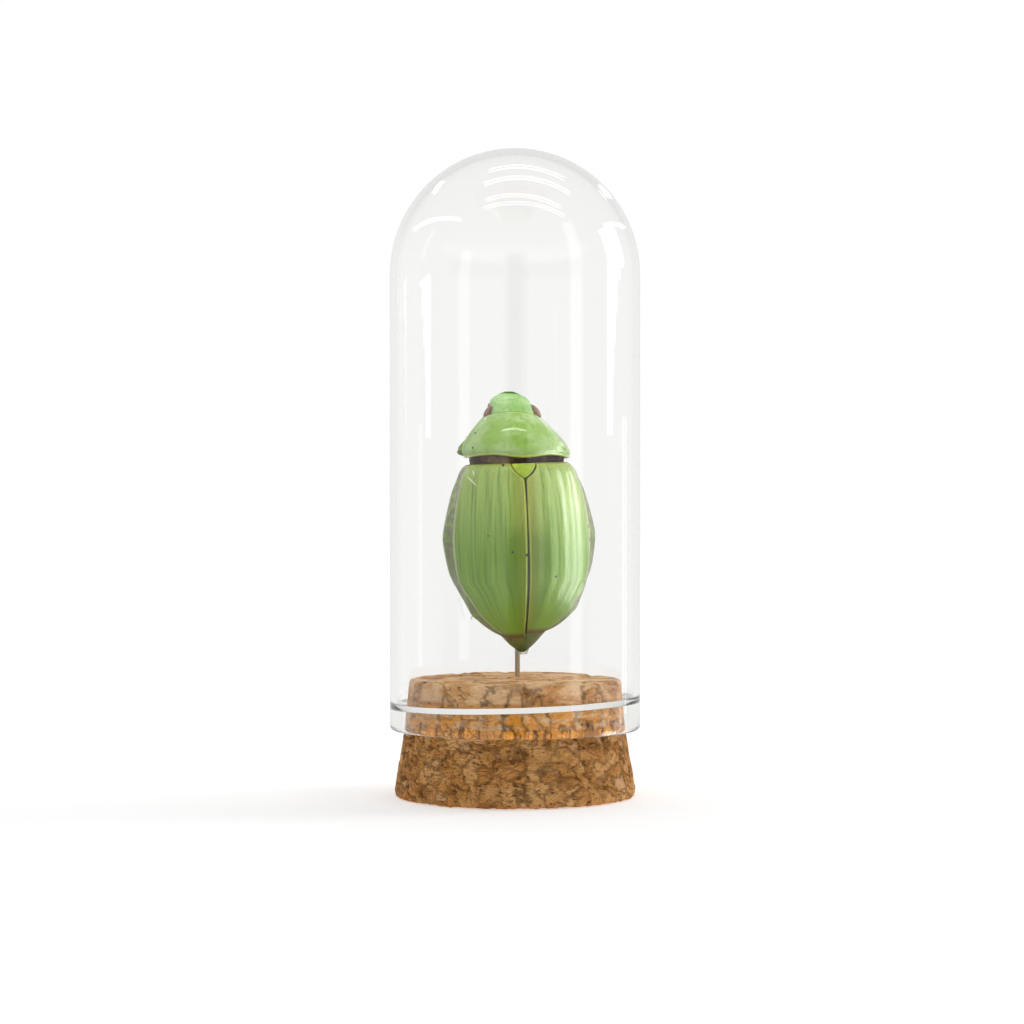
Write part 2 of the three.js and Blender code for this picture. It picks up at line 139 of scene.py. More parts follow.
def lathe(name: str, profile: Sequence[Point], steps: int) -> bpy.types.Object:
    """Turn a profile about the Z axis with the spin tool.

    Args:
        name: Name of the new piece.
        profile: (radius, height) points in millimetres, from the axis to the axis.
        steps: Steps of the full turn.

    Returns:
        The turned piece, closed and facing outwards.
    """
    deselect()
    bpy.ops.mesh.primitive_plane_add(size=MM)
    piece = bpy.context.object
    piece.name = piece.data.name = name
    bpy.ops.object.mode_set(mode="EDIT")
    bpy.ops.mesh.merge(type="CENTER")
    bpy.ops.transform.translate(value=(profile[0][0] * MM, 0, profile[0][1] * MM))
    for (r0, z0), (r1, z1) in zip(profile, profile[1:]):
        bpy.ops.mesh.extrude_region_move(
            TRANSFORM_OT_translate={"value": ((r1 - r0) * MM, 0, (z1 - z0) * MM)}
        )
    bpy.ops.mesh.select_all(action="SELECT")
    bpy.ops.mesh.spin(steps=steps, angle=2 * math.pi, center=(0, 0, 0), axis=(0, 0, 1))
    bpy.ops.mesh.select_all(action="SELECT")
    bpy.ops.mesh.remove_doubles(threshold=1e-6)
    bpy.ops.mesh.normals_make_consistent(inside=False)
    bpy.ops.object.mode_set(mode="OBJECT")
    return piece


def skin(
    name: str,
    rings: Sequence[Ring],
    place: Matrix = Matrix(),
    uv: Callable[[int, int], Point] | None = None,
) -> bpy.types.Object:
    """Close a skin over rings of equal length.

    Args:
        name: Name of the new piece.
        rings: Rings of points in millimetres.
        place: Where the rings' frame lies, in millimetres.
        uv: Gives the UV place of a ring number and point number.

    Returns:
        The closed piece, shaded smooth.
    """
    mesh = bpy.data.meshes.new(name)
    build = bmesh.new()
    layer = build.loops.layers.uv.new("surface") if uv else None
    verts = [[build.verts.new((place @ p) * MM) for p in ring] for ring in rings]
    count = len(rings[0])
    half = count // 2

    def face(corners: Iterable[tuple[int, int]]) -> None:
        """Add one face from (ring, point) corners."""
        corners = list(corners)
        made = build.faces.new([verts[r][i % count] for r, i in corners])
        made.smooth = True
        if layer:
            for loop, (r, i) in zip(made.loops, corners):
                loop[layer].uv = uv(r, i)

    for r in range(len(rings) - 1):
        for i in range(count):
            face([(r, i), (r, i + 1), (r + 1, i + 1), (r + 1, i)])
    last = len(rings) - 1
    for i in range(half - 1):
        across = count - 1 - i
        face([(0, i), (0, across), (0, across - 1), (0, i + 1)])
        face([(last, i), (last, i + 1), (last, across - 1), (last, across)])
    bmesh.ops.recalc_face_normals(build, faces=build.faces)
    build.to_mesh(mesh)
    build.free()
    piece = bpy.data.objects.new(name, mesh)
    bpy.context.collection.objects.link(piece)
    return piece


def mark(piece: bpy.types.Object, name: str, values: Iterable[float]) -> None:
    """Store one value for each point of a mesh, for its material to read."""
    layer = piece.data.attributes.new(name, "FLOAT", "POINT")
    layer.data.foreach_set("value", list(values))


def ellipsoid(
    name: str, centre: Vector, radii: Sequence[float], place: Matrix
) -> bpy.types.Object:
    """A round body from a sphere primitive, scaled and placed in its mesh.

    Args:
        name: Name of the piece.
        centre: Its centre in the place's frame, millimetres.
        radii: Its three radii in millimetres.
        place: Frame that the centre is given in.

    Returns:
        The piece, with its place in its mesh.
    """
    deselect()
    bpy.ops.mesh.primitive_uv_sphere_add(segments=48, ring_count=32, radius=1)
    piece = bpy.context.object
    piece.name = piece.data.name = name
    local = Matrix.Translation(centre) @ Matrix.Diagonal((*radii, 1))
    piece.data.transform(Matrix.Scale(MM, 4) @ place @ local)
    for polygon in piece.data.polygons:
        polygon.use_smooth = True
    return piece


def joined(name: str, pieces: Sequence[bpy.types.Object]) -> bpy.types.Object:
    """Join several meshes to one piece of the given name."""
    deselect()
    for piece in pieces:
        piece.select_set(True)
    bpy.context.view_layer.objects.active = pieces[0]
    bpy.ops.object.join()
    pieces[0].name = pieces[0].data.name = name
    return pieces[0]


def smooth_by_angle(piece: bpy.types.Object, degrees: float) -> None:
    """Shade smooth, with edges sharper than the angle kept crisp."""
    deselect()
    piece.select_set(True)
    bpy.context.view_layer.objects.active = piece
    bpy.ops.object.shade_smooth_by_angle(angle=math.radians(degrees))


class Finish(Protocol):
    """What a piece is made of."""

    def make(self) -> bpy.types.Material:
        """Build its material."""


def dress(
    piece: bpy.types.Object, finish: Finish, node: str, crisp: float | None = None
) -> bpy.types.Object:
    """Shade a piece, give it its finish and tie it to the frame.

    Args:
        piece: The modelled piece.
        finish: What it is made of.
        node: The CAD node that it stands for.
        crisp: Angle in degrees past which edges stay crisp; without it the shading stays.

    Returns:
        The finished piece.
    """
    if crisp is not None:
        smooth_by_angle(piece, crisp)
    piece.data.materials.clear()
    piece.data.materials.append(finish.make())
    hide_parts(node)
    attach(piece, BODY)
    return piece


def limb_rings(
    points: Sequence[Vector], radius: Section, steps: int, sides: int
) -> list[Ring]:
    """Rings round a smooth path through three or more points.

    Args:
        points: The path's points in millimetres.
        radius: Radius at 0 to 1 along the path.
        steps: Number of rings less one.
        sides: Points of a ring.

    Returns:
        The rings, from the first point to the last.
    """
    curves = [
        SmoothCurve(*[(i / (len(points) - 1), p[axis]) for i, p in enumerate(points)])
        for axis in range(3)
    ]
    direction = (points[-1] - points[0]).normalized()
    first = Vector((0, 1, 0)).cross(direction).normalized()
    second = direction.cross(first)
    turns = [2 * math.pi * (i + 0.5) / sides for i in range(sides)]
    rings = []
    for step in range(steps + 1):
        t = step / steps
        centre = Vector([curve(t) for curve in curves])
        size = radius(t)
        rings.append(
            [centre + first * size * math.cos(a) + second * size * math.sin(a) for a in turns]
        )
    return rings


def spike(
    name: str, base: Vector, tip: Vector, radius: float, place: Matrix, bend: float = 0.0
) -> bpy.types.Object:
    """A pointed spine, tooth or claw.

    Args:
        name: Name of the piece.
        base: Its foot, millimetres.
        tip: Its point.
        radius: Radius at the foot.
        place: Frame of both points.
        bend: How far its middle bows out, millimetres.

    Returns:
        The closed spine.
    """
    middle = (base + tip) / 2 + Vector((0, bend, 0))
    rings = limb_rings([base, middle, tip], lambda t: radius * (1 - t) ** 0.8 + 0.006, 7, 8)
    return skin(name, rings, place)


# Materials --------------------------------------------------------------------------------------


def set_inputs(tree: Tree, node: bpy.types.Node, inputs: dict) -> None:
    """Give inputs of a node, by name or number, their values or source sockets."""
    for key, value in inputs.items():
        if isinstance(value, Socket):
            tree.links.new(value, node.inputs[key])
        else:
            node.inputs[key].default_value = value


def add_node(tree: Tree, kind: str, inputs: dict | None = None, **settings) -> bpy.types.Node:
    """Add one node with its settings, values and links.

    Args:
        tree: Node tree that gets it.
        kind: Blender's node type.
        inputs: Value or source socket for each input, by name or number.
        settings: Properties of the node.

    Returns:
        The new node.
    """
    node = tree.nodes.new(kind)
    for name, value in settings.items():
        setattr(node, name, value)
    set_inputs(tree, node, inputs or {})
    return node


def new_material(name: str) -> tuple[bpy.types.Material, Tree, bpy.types.Node]:
    """An empty node material.

    Args:
        name: Name of the material.

    Returns:
        The material, its tree and its main shader, already linked to the output.
    """
    material = bpy.data.materials.new(name)
    material.use_nodes = True
    tree = material.node_tree
    tree.nodes.clear()
    shader = add_node(tree, "ShaderNodeBsdfPrincipled")
    add_node(tree, "ShaderNodeOutputMaterial", {"Surface": shader.outputs[0]})
    return material, tree, shader


def fade(tree: Tree, *spans: Sequence, by: Socket | float | None = None) -> Socket:
    """Level that changes softly while a value goes through its span.

    Args:
        tree: Node tree that gets it.
        spans: For each value (value, start, end): 0 up to the start and 1 from the end on. Two more
            entries take the place of that 0 and 1.
        by: One more factor.

    Returns:
        The product of all the spans' levels and the factor.
    """
    factors = []
    for value, start, end, *levels in spans:
        least, most = levels or (0.0, 1.0)
        ends = {"Value": value, 1: start, 2: end, 3: least, 4: most}
        soft = add_node(tree, "ShaderNodeMapRange", ends, interpolation_type="SMOOTHSTEP")
        factors.append(soft.outputs[0])
    if by is not None:
        factors.append(by)
    product = factors[0]
    for factor in factors[1:]:
        both = {0: product, 1: factor}
        product = add_node(tree, "ShaderNodeMath", both, operation="MULTIPLY").outputs[0]
    return product


def tinted(
    tree: Tree, under: Socket | str, shade: str, *spans: Sequence, by: Socket | None = None
) -> Socket:
    """Lay a shade over a colour wherever the spans' level shows it.

    Args:
        tree: Node tree that gets it.
        under: Colour so far.
        shade: Colour of the coat.
        spans: Spans as fade takes them.
        by: One more factor.

    Returns:
        The coated colour.
    """
    base = under if isinstance(under, Socket) else linear(under)
    layers = {"Factor": fade(tree, *spans, by=by), 6: base, 7: linear(shade)}
    return add_node(tree, "ShaderNodeMix", layers, data_type="RGBA").outputs[2]


def grain(
    tree: Tree, size: float, stretch: Sequence[float] = (1, 1, 1), detail: float = 4.0
) -> Socket:
    """Cloudy pattern of a real size on object coordinates.

    Args:
        tree: Node tree that gets it.
        size: Size of its features in millimetres.
        stretch: Scale of the features along X, Y and Z.
        detail: Octaves.

    Returns:
        The pattern's value, 0 to 1.
    """
    place = add_node(tree, "ShaderNodeTexCoord")
    scale = [1 / (size * MM * s) for s in stretch]
    mapped = add_node(tree, "ShaderNodeMapping", {0: place.outputs["Object"], 3: scale})
    cloud = {"Vector": mapped.outputs[0], "Scale": 1.0, "Detail": detail}
    return add_node(tree, "ShaderNodeTexNoise", cloud).outputs[0]


def finish_shader(
    tree: Tree,
    shader: bpy.types.Node,
    colour: Socket,
    relief: tuple[Socket, float, float],
    values: dict,
) -> None:
    """Link a shader's colour and relief, and set its plain values.

    Args:
        tree: The material's tree.
        shader: Its main shader.
        colour: Finished colour.
        relief: Height from 0 to 1, its depth in millimetres and its strength.
        values: Plain values of the shader by name.
    """
    height, depth, strength = relief
    form = {"Height": height, "Strength": strength, "Distance": depth * MM}
    bump = add_node(tree, "ShaderNodeBump", form).outputs[0]
    set_inputs(tree, shader, {"Base Color": colour, "Normal": bump, **values})


@dataclass(frozen=True)
class BlownGlass:
    """Borosilicate glass, drawn and flame finished: quite clear, faintly grey at its edges."""

    name: str = "blown_borosilicate_glass"
    ior: float = 1.48
    tint: str = "#dbd9c8"
    density: float = 70.0

    def make(self) -> bpy.types.Material:
        """Build the material."""
        material, tree, shader = new_material(self.name)
        values = {"Base Color": (1, 1, 1, 1), "Roughness": 0.0, "Transmission Weight": 1.0}
        set_inputs(tree, shader, {**values, "IOR": self.ior})
        depth = {"Color": linear(self.tint), "Density": self.density}
        absorption = add_node(tree, "ShaderNodeVolumeAbsorption", depth)
        output = tree.nodes["Material Output"]
        set_inputs(tree, output, {"Volume": absorption.outputs[0]})
        return material


@dataclass(frozen=True)
class PressedCork:
    """Agglomerated cork: torn granules of 2 to 4 mm with growth lines, and painted shade in its
    clefts.

    Pressed against the mouth of the glass it looks wet: orange, with dark streaks and a pale film.
    """

    name: str = "pressed_cork_granules"
    pale: str = "#e6b070"
    body: str = "#ca8c48"
    dark: str = "#98592a"
    # Painted shade in the clefts and in fine cracks.
    crevice_shade: str = "#3c2412"
    smooth: str = "#dca884"
    stained: str = "#f0a032"
    wet: str = "#6b3a10"
    film: str = "#e6d6b8"
    # Paler top inside the bell: painted light and painted reflection of the glass's veil.
    painted_top_light: str = "#fad2a4"

    def make(self) -> bpy.types.Material:
        """Build the material; granule tone and the clefts' painted shade come from the mesh's own
        attributes.
        """
        material, tree, shader = new_material(self.name)
        granule = add_node(tree, "ShaderNodeAttribute", attribute_name="granule").outputs["Fac"]
        gap = add_node(tree, "ShaderNodeAttribute", attribute_name="crevice_shade").outputs["Fac"]
        place = add_node(tree, "ShaderNodeTexCoord").outputs["Object"]
        height = add_node(tree, "ShaderNodeSeparateXYZ", {0: place}).outputs[2]
        turn = add_node(tree, "ShaderNodeMath", {0: granule, 1: 3.0}, operation="MULTIPLY")
        spin = {"Vector": place, "Axis": (0.4, 0.7, 0.2), "Angle": turn.outputs[0]}
        turned = add_node(tree, "ShaderNodeVectorRotate", spin).outputs[0]
        # Growth lines: 0.3 mm apart, each granule's in its own direction.
        lined = add_node(tree, "ShaderNodeMapping", {0: turned, 3: (600, 900, 3300)}).outputs[0]
        lines = {"Vector": lined, "Scale": 1.0, "Detail": 6.0}
        growth = add_node(tree, "ShaderNodeTexNoise", lines).outputs[0]
        grit = grain(tree, 0.42, (1.5, 1.5, 0.7), detail=7)
        patch = grain(tree, 3.2, (1.5, 1.5, 0.8), detail=5)
        mixed = {0: granule, 1: 0.35, 2: patch}
        tone = add_node(tree, "ShaderNodeMath", mixed, operation="MULTIPLY_ADD").outputs[0]
        colour = self.body
        for shade, pattern, start, end, most in (
            (self.pale, tone, 0.5, 0.95, 1.0),
            (self.dark, tone, 0.6, 0.4, 0.3),
            (self.dark, growth, 0.5, 0.3, 0.75),
            (self.pale, growth, 0.55, 0.75, 0.5),
            # Painted shade in fine cracks.
            (self.crevice_shade, grit, 0.43, 0.3, 0.85),
            (self.smooth, granule, 0.9, 0.94, 0.45),
        ):
            colour = tinted(tree, colour, shade, (pattern, start, end, 0.0, most))
        # Blots of 1 to 3 mm in belts between two heights in millimetres.
        for shade, low, high, pattern, span in (
            (self.stained, 8, 11.5, (2.4, (1, 1, 0.5), 5), (0.3, 0.62, 0.15, 0.85)),
            (self.wet, 8, 9.6, (0.9, (0.7, 0.7, 1.6), 5), (0.5, 0.36, 0, 0.85)),
            (self.film, 9, 11.5, (1.5, (1, 1, 0.4), 6), (0.46, 0.66, 0, 0.55)),
            # Paler above 12 mm, inside the bell: painted light and painted reflection of the
            # glass's veil.
            (self.painted_top_light, 11.9, 20, (2.6, (1.3, 1.3, 0.8), 6), (0.42, 0.58, 0.05, 0.7)),
        ):
            rising = (height, (low - 0.2) * MM, (low + 0.3) * MM)
            falling = (height, (high + 0.3) * MM, (high - 0.2) * MM)
            blots = (grain(tree, *pattern), *span)
            colour = tinted(tree, colour, shade, rising, falling, blots)
        # Painted shade in the clefts between granules, broken by crumbs; weaker under the bell,
        # above 12 mm.
        crumbs = (grain(tree, 0.7, detail=6), 0.38, 0.56)
        filled = (height, 11.8 * MM, 12.4 * MM, 0.45, 0.25)
        colour = tinted(tree, colour, self.crevice_shade, crumbs, filled, by=gap)
        torn = {0: grit, 1: 1.6, 2: growth}
        rough = add_node(tree, "ShaderNodeMath", torn, operation="MULTIPLY_ADD").outputs[0]
        values = {"Roughness": 0.85, "Specular IOR Level": 0.25}
        finish_shader(tree, shader, colour, (rough, 0.3, 0.9), values)
        return material


@dataclass(frozen=True)
class DrawnSteel:
    """Insect pin of drawn steel wire: bright lines along the wire, a little tarnished."""

    name: str = "drawn_steel_wire"
    bright: str = "#dedacb"
    tarnished: str = "#a89f88"

    def make(self) -> bpy.types.Material:
        """Build the material."""
        material, tree, shader = new_material(self.name)
        lines = grain(tree, 0.12, (1, 1, 40))
        colour = tinted(tree, self.tarnished, self.bright, (lines, 0.35, 0.65))
        values = {"Metallic": 1.0, "Roughness": 0.28}
        finish_shader(tree, shader, colour, (lines, 0.02, 0.4), values)
        return material


@dataclass(frozen=True)
class HotGlue:
    """Hot-melt glue: milky and translucent, with a smooth wet skin."""

    name: str = "hot_melt_glue"
    clear: str = "#fbf8f0"
    milky: str = "#efe9da"

    def make(self) -> bpy.types.Material:
        """Build the material."""
        material, tree, shader = new_material(self.name)
        cloud = grain(tree, 1.2)
        colour = tinted(tree, self.clear, self.milky, by=cloud)
        values = {"Roughness": 0.12, "IOR": 1.48, "Transmission Weight": 0.75}
        finish_shader(tree, shader, colour, (cloud, 0.2, 0.3), values)
        return material


@dataclass(frozen=True)
class Cuticle:
    """Insect cuticle: a hard shell, finely pitted and mottled, under a thin waxy gloss.

    Specks are (x, z, radius) and scars (x, z, half length, tilt in degrees, shade), in
    millimetres.
    """

    name: str
    base: str
    pale: str
    deep: str
    rim: str = "#d3da62"
    # Painted shade in grooves and along edges between parts.
    groove_shade: str = "#5c8430"
    dirt: str = "#33322c"
    roughness: float = 0.45
    coat: float = 0.6
    coat_roughness: float = 0.1
    pit_size: float = 0.2
    pit_depth: float = 0.012
    # Strength of the painted shade in the pits.
    pit_shade: float = 0.12
    scar_half_width: float = 0.12
    specks: tuple[tuple[float, float, float], ...] = ()
    scars: tuple[tuple[float, float, float, float, str], ...] = ()

    def make(self) -> bpy.types.Material:
        """Build the material; the mesh's attribute "rim" is 1 on beads and -1 on the painted shade
        in grooves and seams.
        """
        material, tree, shader = new_material(self.name)
        place = add_node(tree, "ShaderNodeTexCoord").outputs["Object"]
        pits = {"Vector": place, "Scale": 1 / (self.pit_size * MM)}
        distance = add_node(tree, "ShaderNodeTexVoronoi", pits).outputs["Distance"]
        dimple = fade(tree, (distance, 0.05, 0.38))
        colour = self.base
        for shade, span in (
            (self.pale, (grain(tree, 2.6), 0.4, 0.62)),
            (self.deep, (grain(tree, 0.5, detail=6), 0.52, 0.3, 0, 0.45)),
            # Painted shade in the middle of each pit.
            (self.deep, (dimple, 0.6, 0.0, 0, self.pit_shade)),
        ):
            colour = tinted(tree, colour, shade, span)
        self.polish(tree, shader, self.marked(tree, colour, place), dimple)
        return material

    def marked(self, tree: Tree, colour: Socket, place: Socket) -> Socket:
        """Colour the rims, paint shade into the grooves, and add the specks of dirt and the narrow
        scars.

        Args:
            tree: The material's tree.
            colour: Colour so far.
            place: Object coordinates.

        Returns:
            The colour with its marks.
        """
        rim = add_node(tree, "ShaderNodeAttribute", attribute_name="rim").outputs["Fac"]
        colour = tinted(tree, colour, self.rim, (rim, 0.25, 0.8))
        # Painted shade where the rim attribute is below 0.
        colour = tinted(tree, colour, self.groove_shade, (rim, -0.2, -0.9, 0, 0.9))
        level = {0: place, 1: (1, 0, 1)}
        flat = add_node(tree, "ShaderNodeVectorMath", level, operation="MULTIPLY").outputs[0]
        for x, z, radius in self.specks:
            ends = {0: flat, 1: (x * MM, 0, z * MM)}
            far = add_node(tree, "ShaderNodeVectorMath", ends, operation="DISTANCE")
            speck = (far.outputs["Value"], radius * MM, radius * 0.6 * MM)
            colour = tinted(tree, colour, self.dirt, speck)
        for x, z, reach, tilt, shade in self.scars:
            oval = {
                0: place,
                1: (x * MM, 0, z * MM),
                2: (0, math.radians(tilt), 0),
                3: (reach * MM, 1, self.scar_half_width * MM),
            }
            near = add_node(tree, "ShaderNodeMapping", oval, vector_type="TEXTURE").outputs[0]
            far = add_node(tree, "ShaderNodeVectorMath", {0: near}, operation="LENGTH")
            colour = tinted(tree, colour, shade, (far.outputs["Value"], 1.0, 0.5, 0, 0.7))
        return colour

    def polish(self, tree: Tree, shader: bpy.types.Node, colour: Socket, height: Socket) -> None:
        """Link colour and relief, and set the gloss of chitin under its wax.

        Args:
            tree: The material's tree.
            shader: Its main shader.
            colour: Finished colour.
            height: Relief, 0 to 1.
        """
        values = {
            "Roughness": self.roughness,
            "IOR": 1.56,
            "Specular IOR Level": 0.25,
            "Coat Weight": self.coat,
            "Coat Roughness": self.coat_roughness,
        }
        finish_shader(tree, shader, colour, (height, self.pit_depth, 0.6), values)


@dataclass(frozen=True)
class WingCaseCuticle(Cuticle):
    """Green wing-case cuticle: yellow along the seam, greyer on the side margin, pits in rows."""

    # Painted shade in the seam between the wing cases and along their front edge.
    groove_shade: str = "#2e2412"
    seam: str = "#9ca034"
    margin: str = "#77735c"
    # Painted highlight on the crest of the ridge inside the margin.
    ridge: str = "#c9d0a6"
    tip: str = "#5c3418"

    def make(self) -> bpy.types.Material:
        """Build the material; UV runs 0 to 1 from seam to margin and from base to tip."""
        material, tree, shader = new_material(self.name)
        place = add_node(tree, "ShaderNodeTexCoord").outputs
        across, along, _ = add_node(tree, "ShaderNodeSeparateXYZ", {0: place["UV"]}).outputs
        # Streaks 0.3 mm wide and several millimetres long.
        lanes = add_node(tree, "ShaderNodeMapping", {0: place["UV"], 3: (38, 2.2, 1)}).outputs[0]
        streaks = {"Vector": lanes, "Scale": 1.0, "Detail": 5.0}
        streak = add_node(tree, "ShaderNodeTexNoise", streaks).outputs[0]
        # Rows of pits, two rows to each rib, 0.4 mm apart.
        rows = {0: place["UV"], 3: (CASE_RIBS * 2, CASE_LENGTH / 0.4, 1)}
        row = add_node(tree, "ShaderNodeMapping", rows).outputs[0]
        pits = {"Vector": row, "Scale": 1.0, "Randomness": 0.7}
        pit = add_node(tree, "ShaderNodeTexVoronoi", pits, voronoi_dimensions="2D")
        dimple = fade(tree, (pit.outputs["Distance"], 0.04, 0.26))
        fleck = grain(tree, 0.35, (1, 1, 2.2), detail=5)
        # Where the painted highlight on the crest of the ridge inside the margin lies.
        crest = fade(tree, (across, 0.762, 0.777), (across, 0.8, 0.785))
        # Painted shade beside the seam in the hind half of the wing case.
        seam_side_shade = fade(tree, (along, 0.28, 0.5), (across, 0.35, 0.05))
        colour = self.pale
        for shade, *spans in (
            (self.base, (along, 0.05, 0.6)),
            (self.deep, (streak, 0.55, 0.3, 0, 0.6)),
            (self.pale, (streak, 0.55, 0.75, 0, 0.4)),
            (self.seam, (across, 0.2, 0.02, 0, 0.6)),
            # Painted shade in the pits.
            (self.deep, (dimple, 0.5, 0.0, 0, self.pit_shade)),
            (self.margin, (across, 0.74, 0.8), (across, 0.965, 0.92), (fleck, 0.3, 0.6)),
            # Pale line on the crest of the ridge inside the margin: a painted highlight. Deeper
            # green beside the seam in the hind half: painted shade.
            (self.ridge, (crest, 0, 1, 0, 0.6)),
            (self.deep, (seam_side_shade, 0, 1, 0, 0.5)),
            (self.tip, (along, 0.955, 0.985, 0, 0.85)),
        ):
            colour = tinted(tree, colour, shade, *spans)
        # Fine and long wrinkles over the pits.
        relief = dimple
        for pattern, depth in (
            (grain(tree, 0.3, detail=5), 0.4),
            (grain(tree, 0.5, (1, 1, 4), detail=3), 4.0),
        ):
            added = {0: pattern, 1: depth, 2: relief}
            relief = add_node(tree, "ShaderNodeMath", added, operation="MULTIPLY_ADD").outputs[0]
        self.polish(tree, shader, self.marked(tree, colour, place["Object"]), relief)
        return material


@dataclass(frozen=True)
class LitAcrylic:
    """Matt white acrylic sheet that glows by its own emission, a painted light, more so away from
    the object: faint shadows.
    """

    name: str = "lit_white_acrylic"
    white: str = "#ffffff"
    cloud: str = "#fafafa"
    near_glow: float = 0.41
    far_glow: float = 0.58

    def make(self) -> bpy.types.Material:
        """Build the material."""
        material, tree, shader = new_material(self.name)
        colour = tinted(tree, self.cloud, self.white, by=grain(tree, 3.0))
        place = add_node(tree, "ShaderNodeTexCoord").outputs["Object"]
        far = add_node(tree, "ShaderNodeVectorMath", {0: place}, operation="LENGTH")
        glow = fade(tree, (far.outputs["Value"], 0.03, 0.3, self.near_glow, self.far_glow))
        light = {"Base Color": colour, "Emission Color": colour, "Emission Strength": glow}
        set_inputs(tree, shader, {**light, "Roughness": 0.9, "Specular IOR Level": 0.0})
        return material


# The case ---------------------------------------------------------------------------------------


def arc(centre: Point, radius: float, start: float, end: float, steps: int) -> list[Point]:
    """Points on a circle between two angles in degrees."""
    turns = [math.radians(a) for a in spaced(start, end, steps + 1)]
    return [(centre[0] + radius * math.cos(a), centre[1] + radius * math.sin(a)) for a in turns]


@dataclass
class GlassBell:
    """The blown bell: a straight tube, a round top and a thicker fire-polished mouth.

    The inner step is a straight cone, so that light runs on down the wall of the mouth and the
    step shows as a pale ring. Support rings beside it, the lip and the crown keep the shading of
    the long faces straight.
    """

    radius: float = 15.0
    height: float = 69.5
    wall: float = 0.8
    mouth_z: float = 8.0
    mouth_wall: float = 1.5
    mouth_height: float = 3.3
    rim_round: float = 0.5
    shoulder_run: float = 0.8
    shoulder_tilt: float = 0.03
    support: Point = (0.04, 0.12)
    crown_support: float = 0.15
    finish: BlownGlass = BlownGlass()

    def profile(self) -> list[Point]:
        """Section of the wall, from the inner top round the mouth to the outer top."""
        tube = self.radius - self.wall
        mouth = self.radius - self.mouth_wall
        crown = self.mouth_z + self.height - self.radius
        shoulder = self.mouth_z + self.mouth_height
        soft = self.rim_round
        near, far = self.support
        step = [
            (mix(tube, mouth, t), shoulder + self.shoulder_run * (0.5 - t))
            for t in spaced(0, 1, 12)
        ]
        inner = arc((0, crown), tube, 90, 0, 40)
        outer = arc((0, crown), self.radius, 0, 90, 40)
        inner[0], outer[-1] = (0.0, inner[0][1]), (0.0, outer[-1][1])
        return [
            *inner,
            (tube, crown - self.crown_support),
            (tube, step[0][1] + far),
            (tube, step[0][1] + near),
            *step,
            (mouth, step[-1][1] - near),
            (mouth, step[-1][1] - far),
            *arc((mouth + soft, self.mouth_z + soft), soft, 180, 270, 6),
            *arc((self.radius - soft, self.mouth_z + soft), soft, 270, 360, 6),
            (self.radius, self.mouth_z + soft + near),
            (self.radius, self.mouth_z + soft + far),
            (self.radius, crown - self.crown_support),
            *outer,
        ]

    def build(self) -> bpy.types.Object:
        """Spin the wall, tilt its inner shoulder a little and dress it."""
        piece = lathe("glass_dome_blown", self.profile(), 160)
        shoulder = self.mouth_z + self.mouth_height
        inner_wall = self.radius - 0.75 * self.wall
        for vertex in piece.data.vertices:
            x, y, z = vertex.co / MM
            if math.hypot(x, y) < inner_wall and abs(z - shoulder) < self.shoulder_run:
                vertex.co.z += self.shoulder_tilt * x * MM
        return dress(piece, self.finish, "glass_dome", crisp=60)


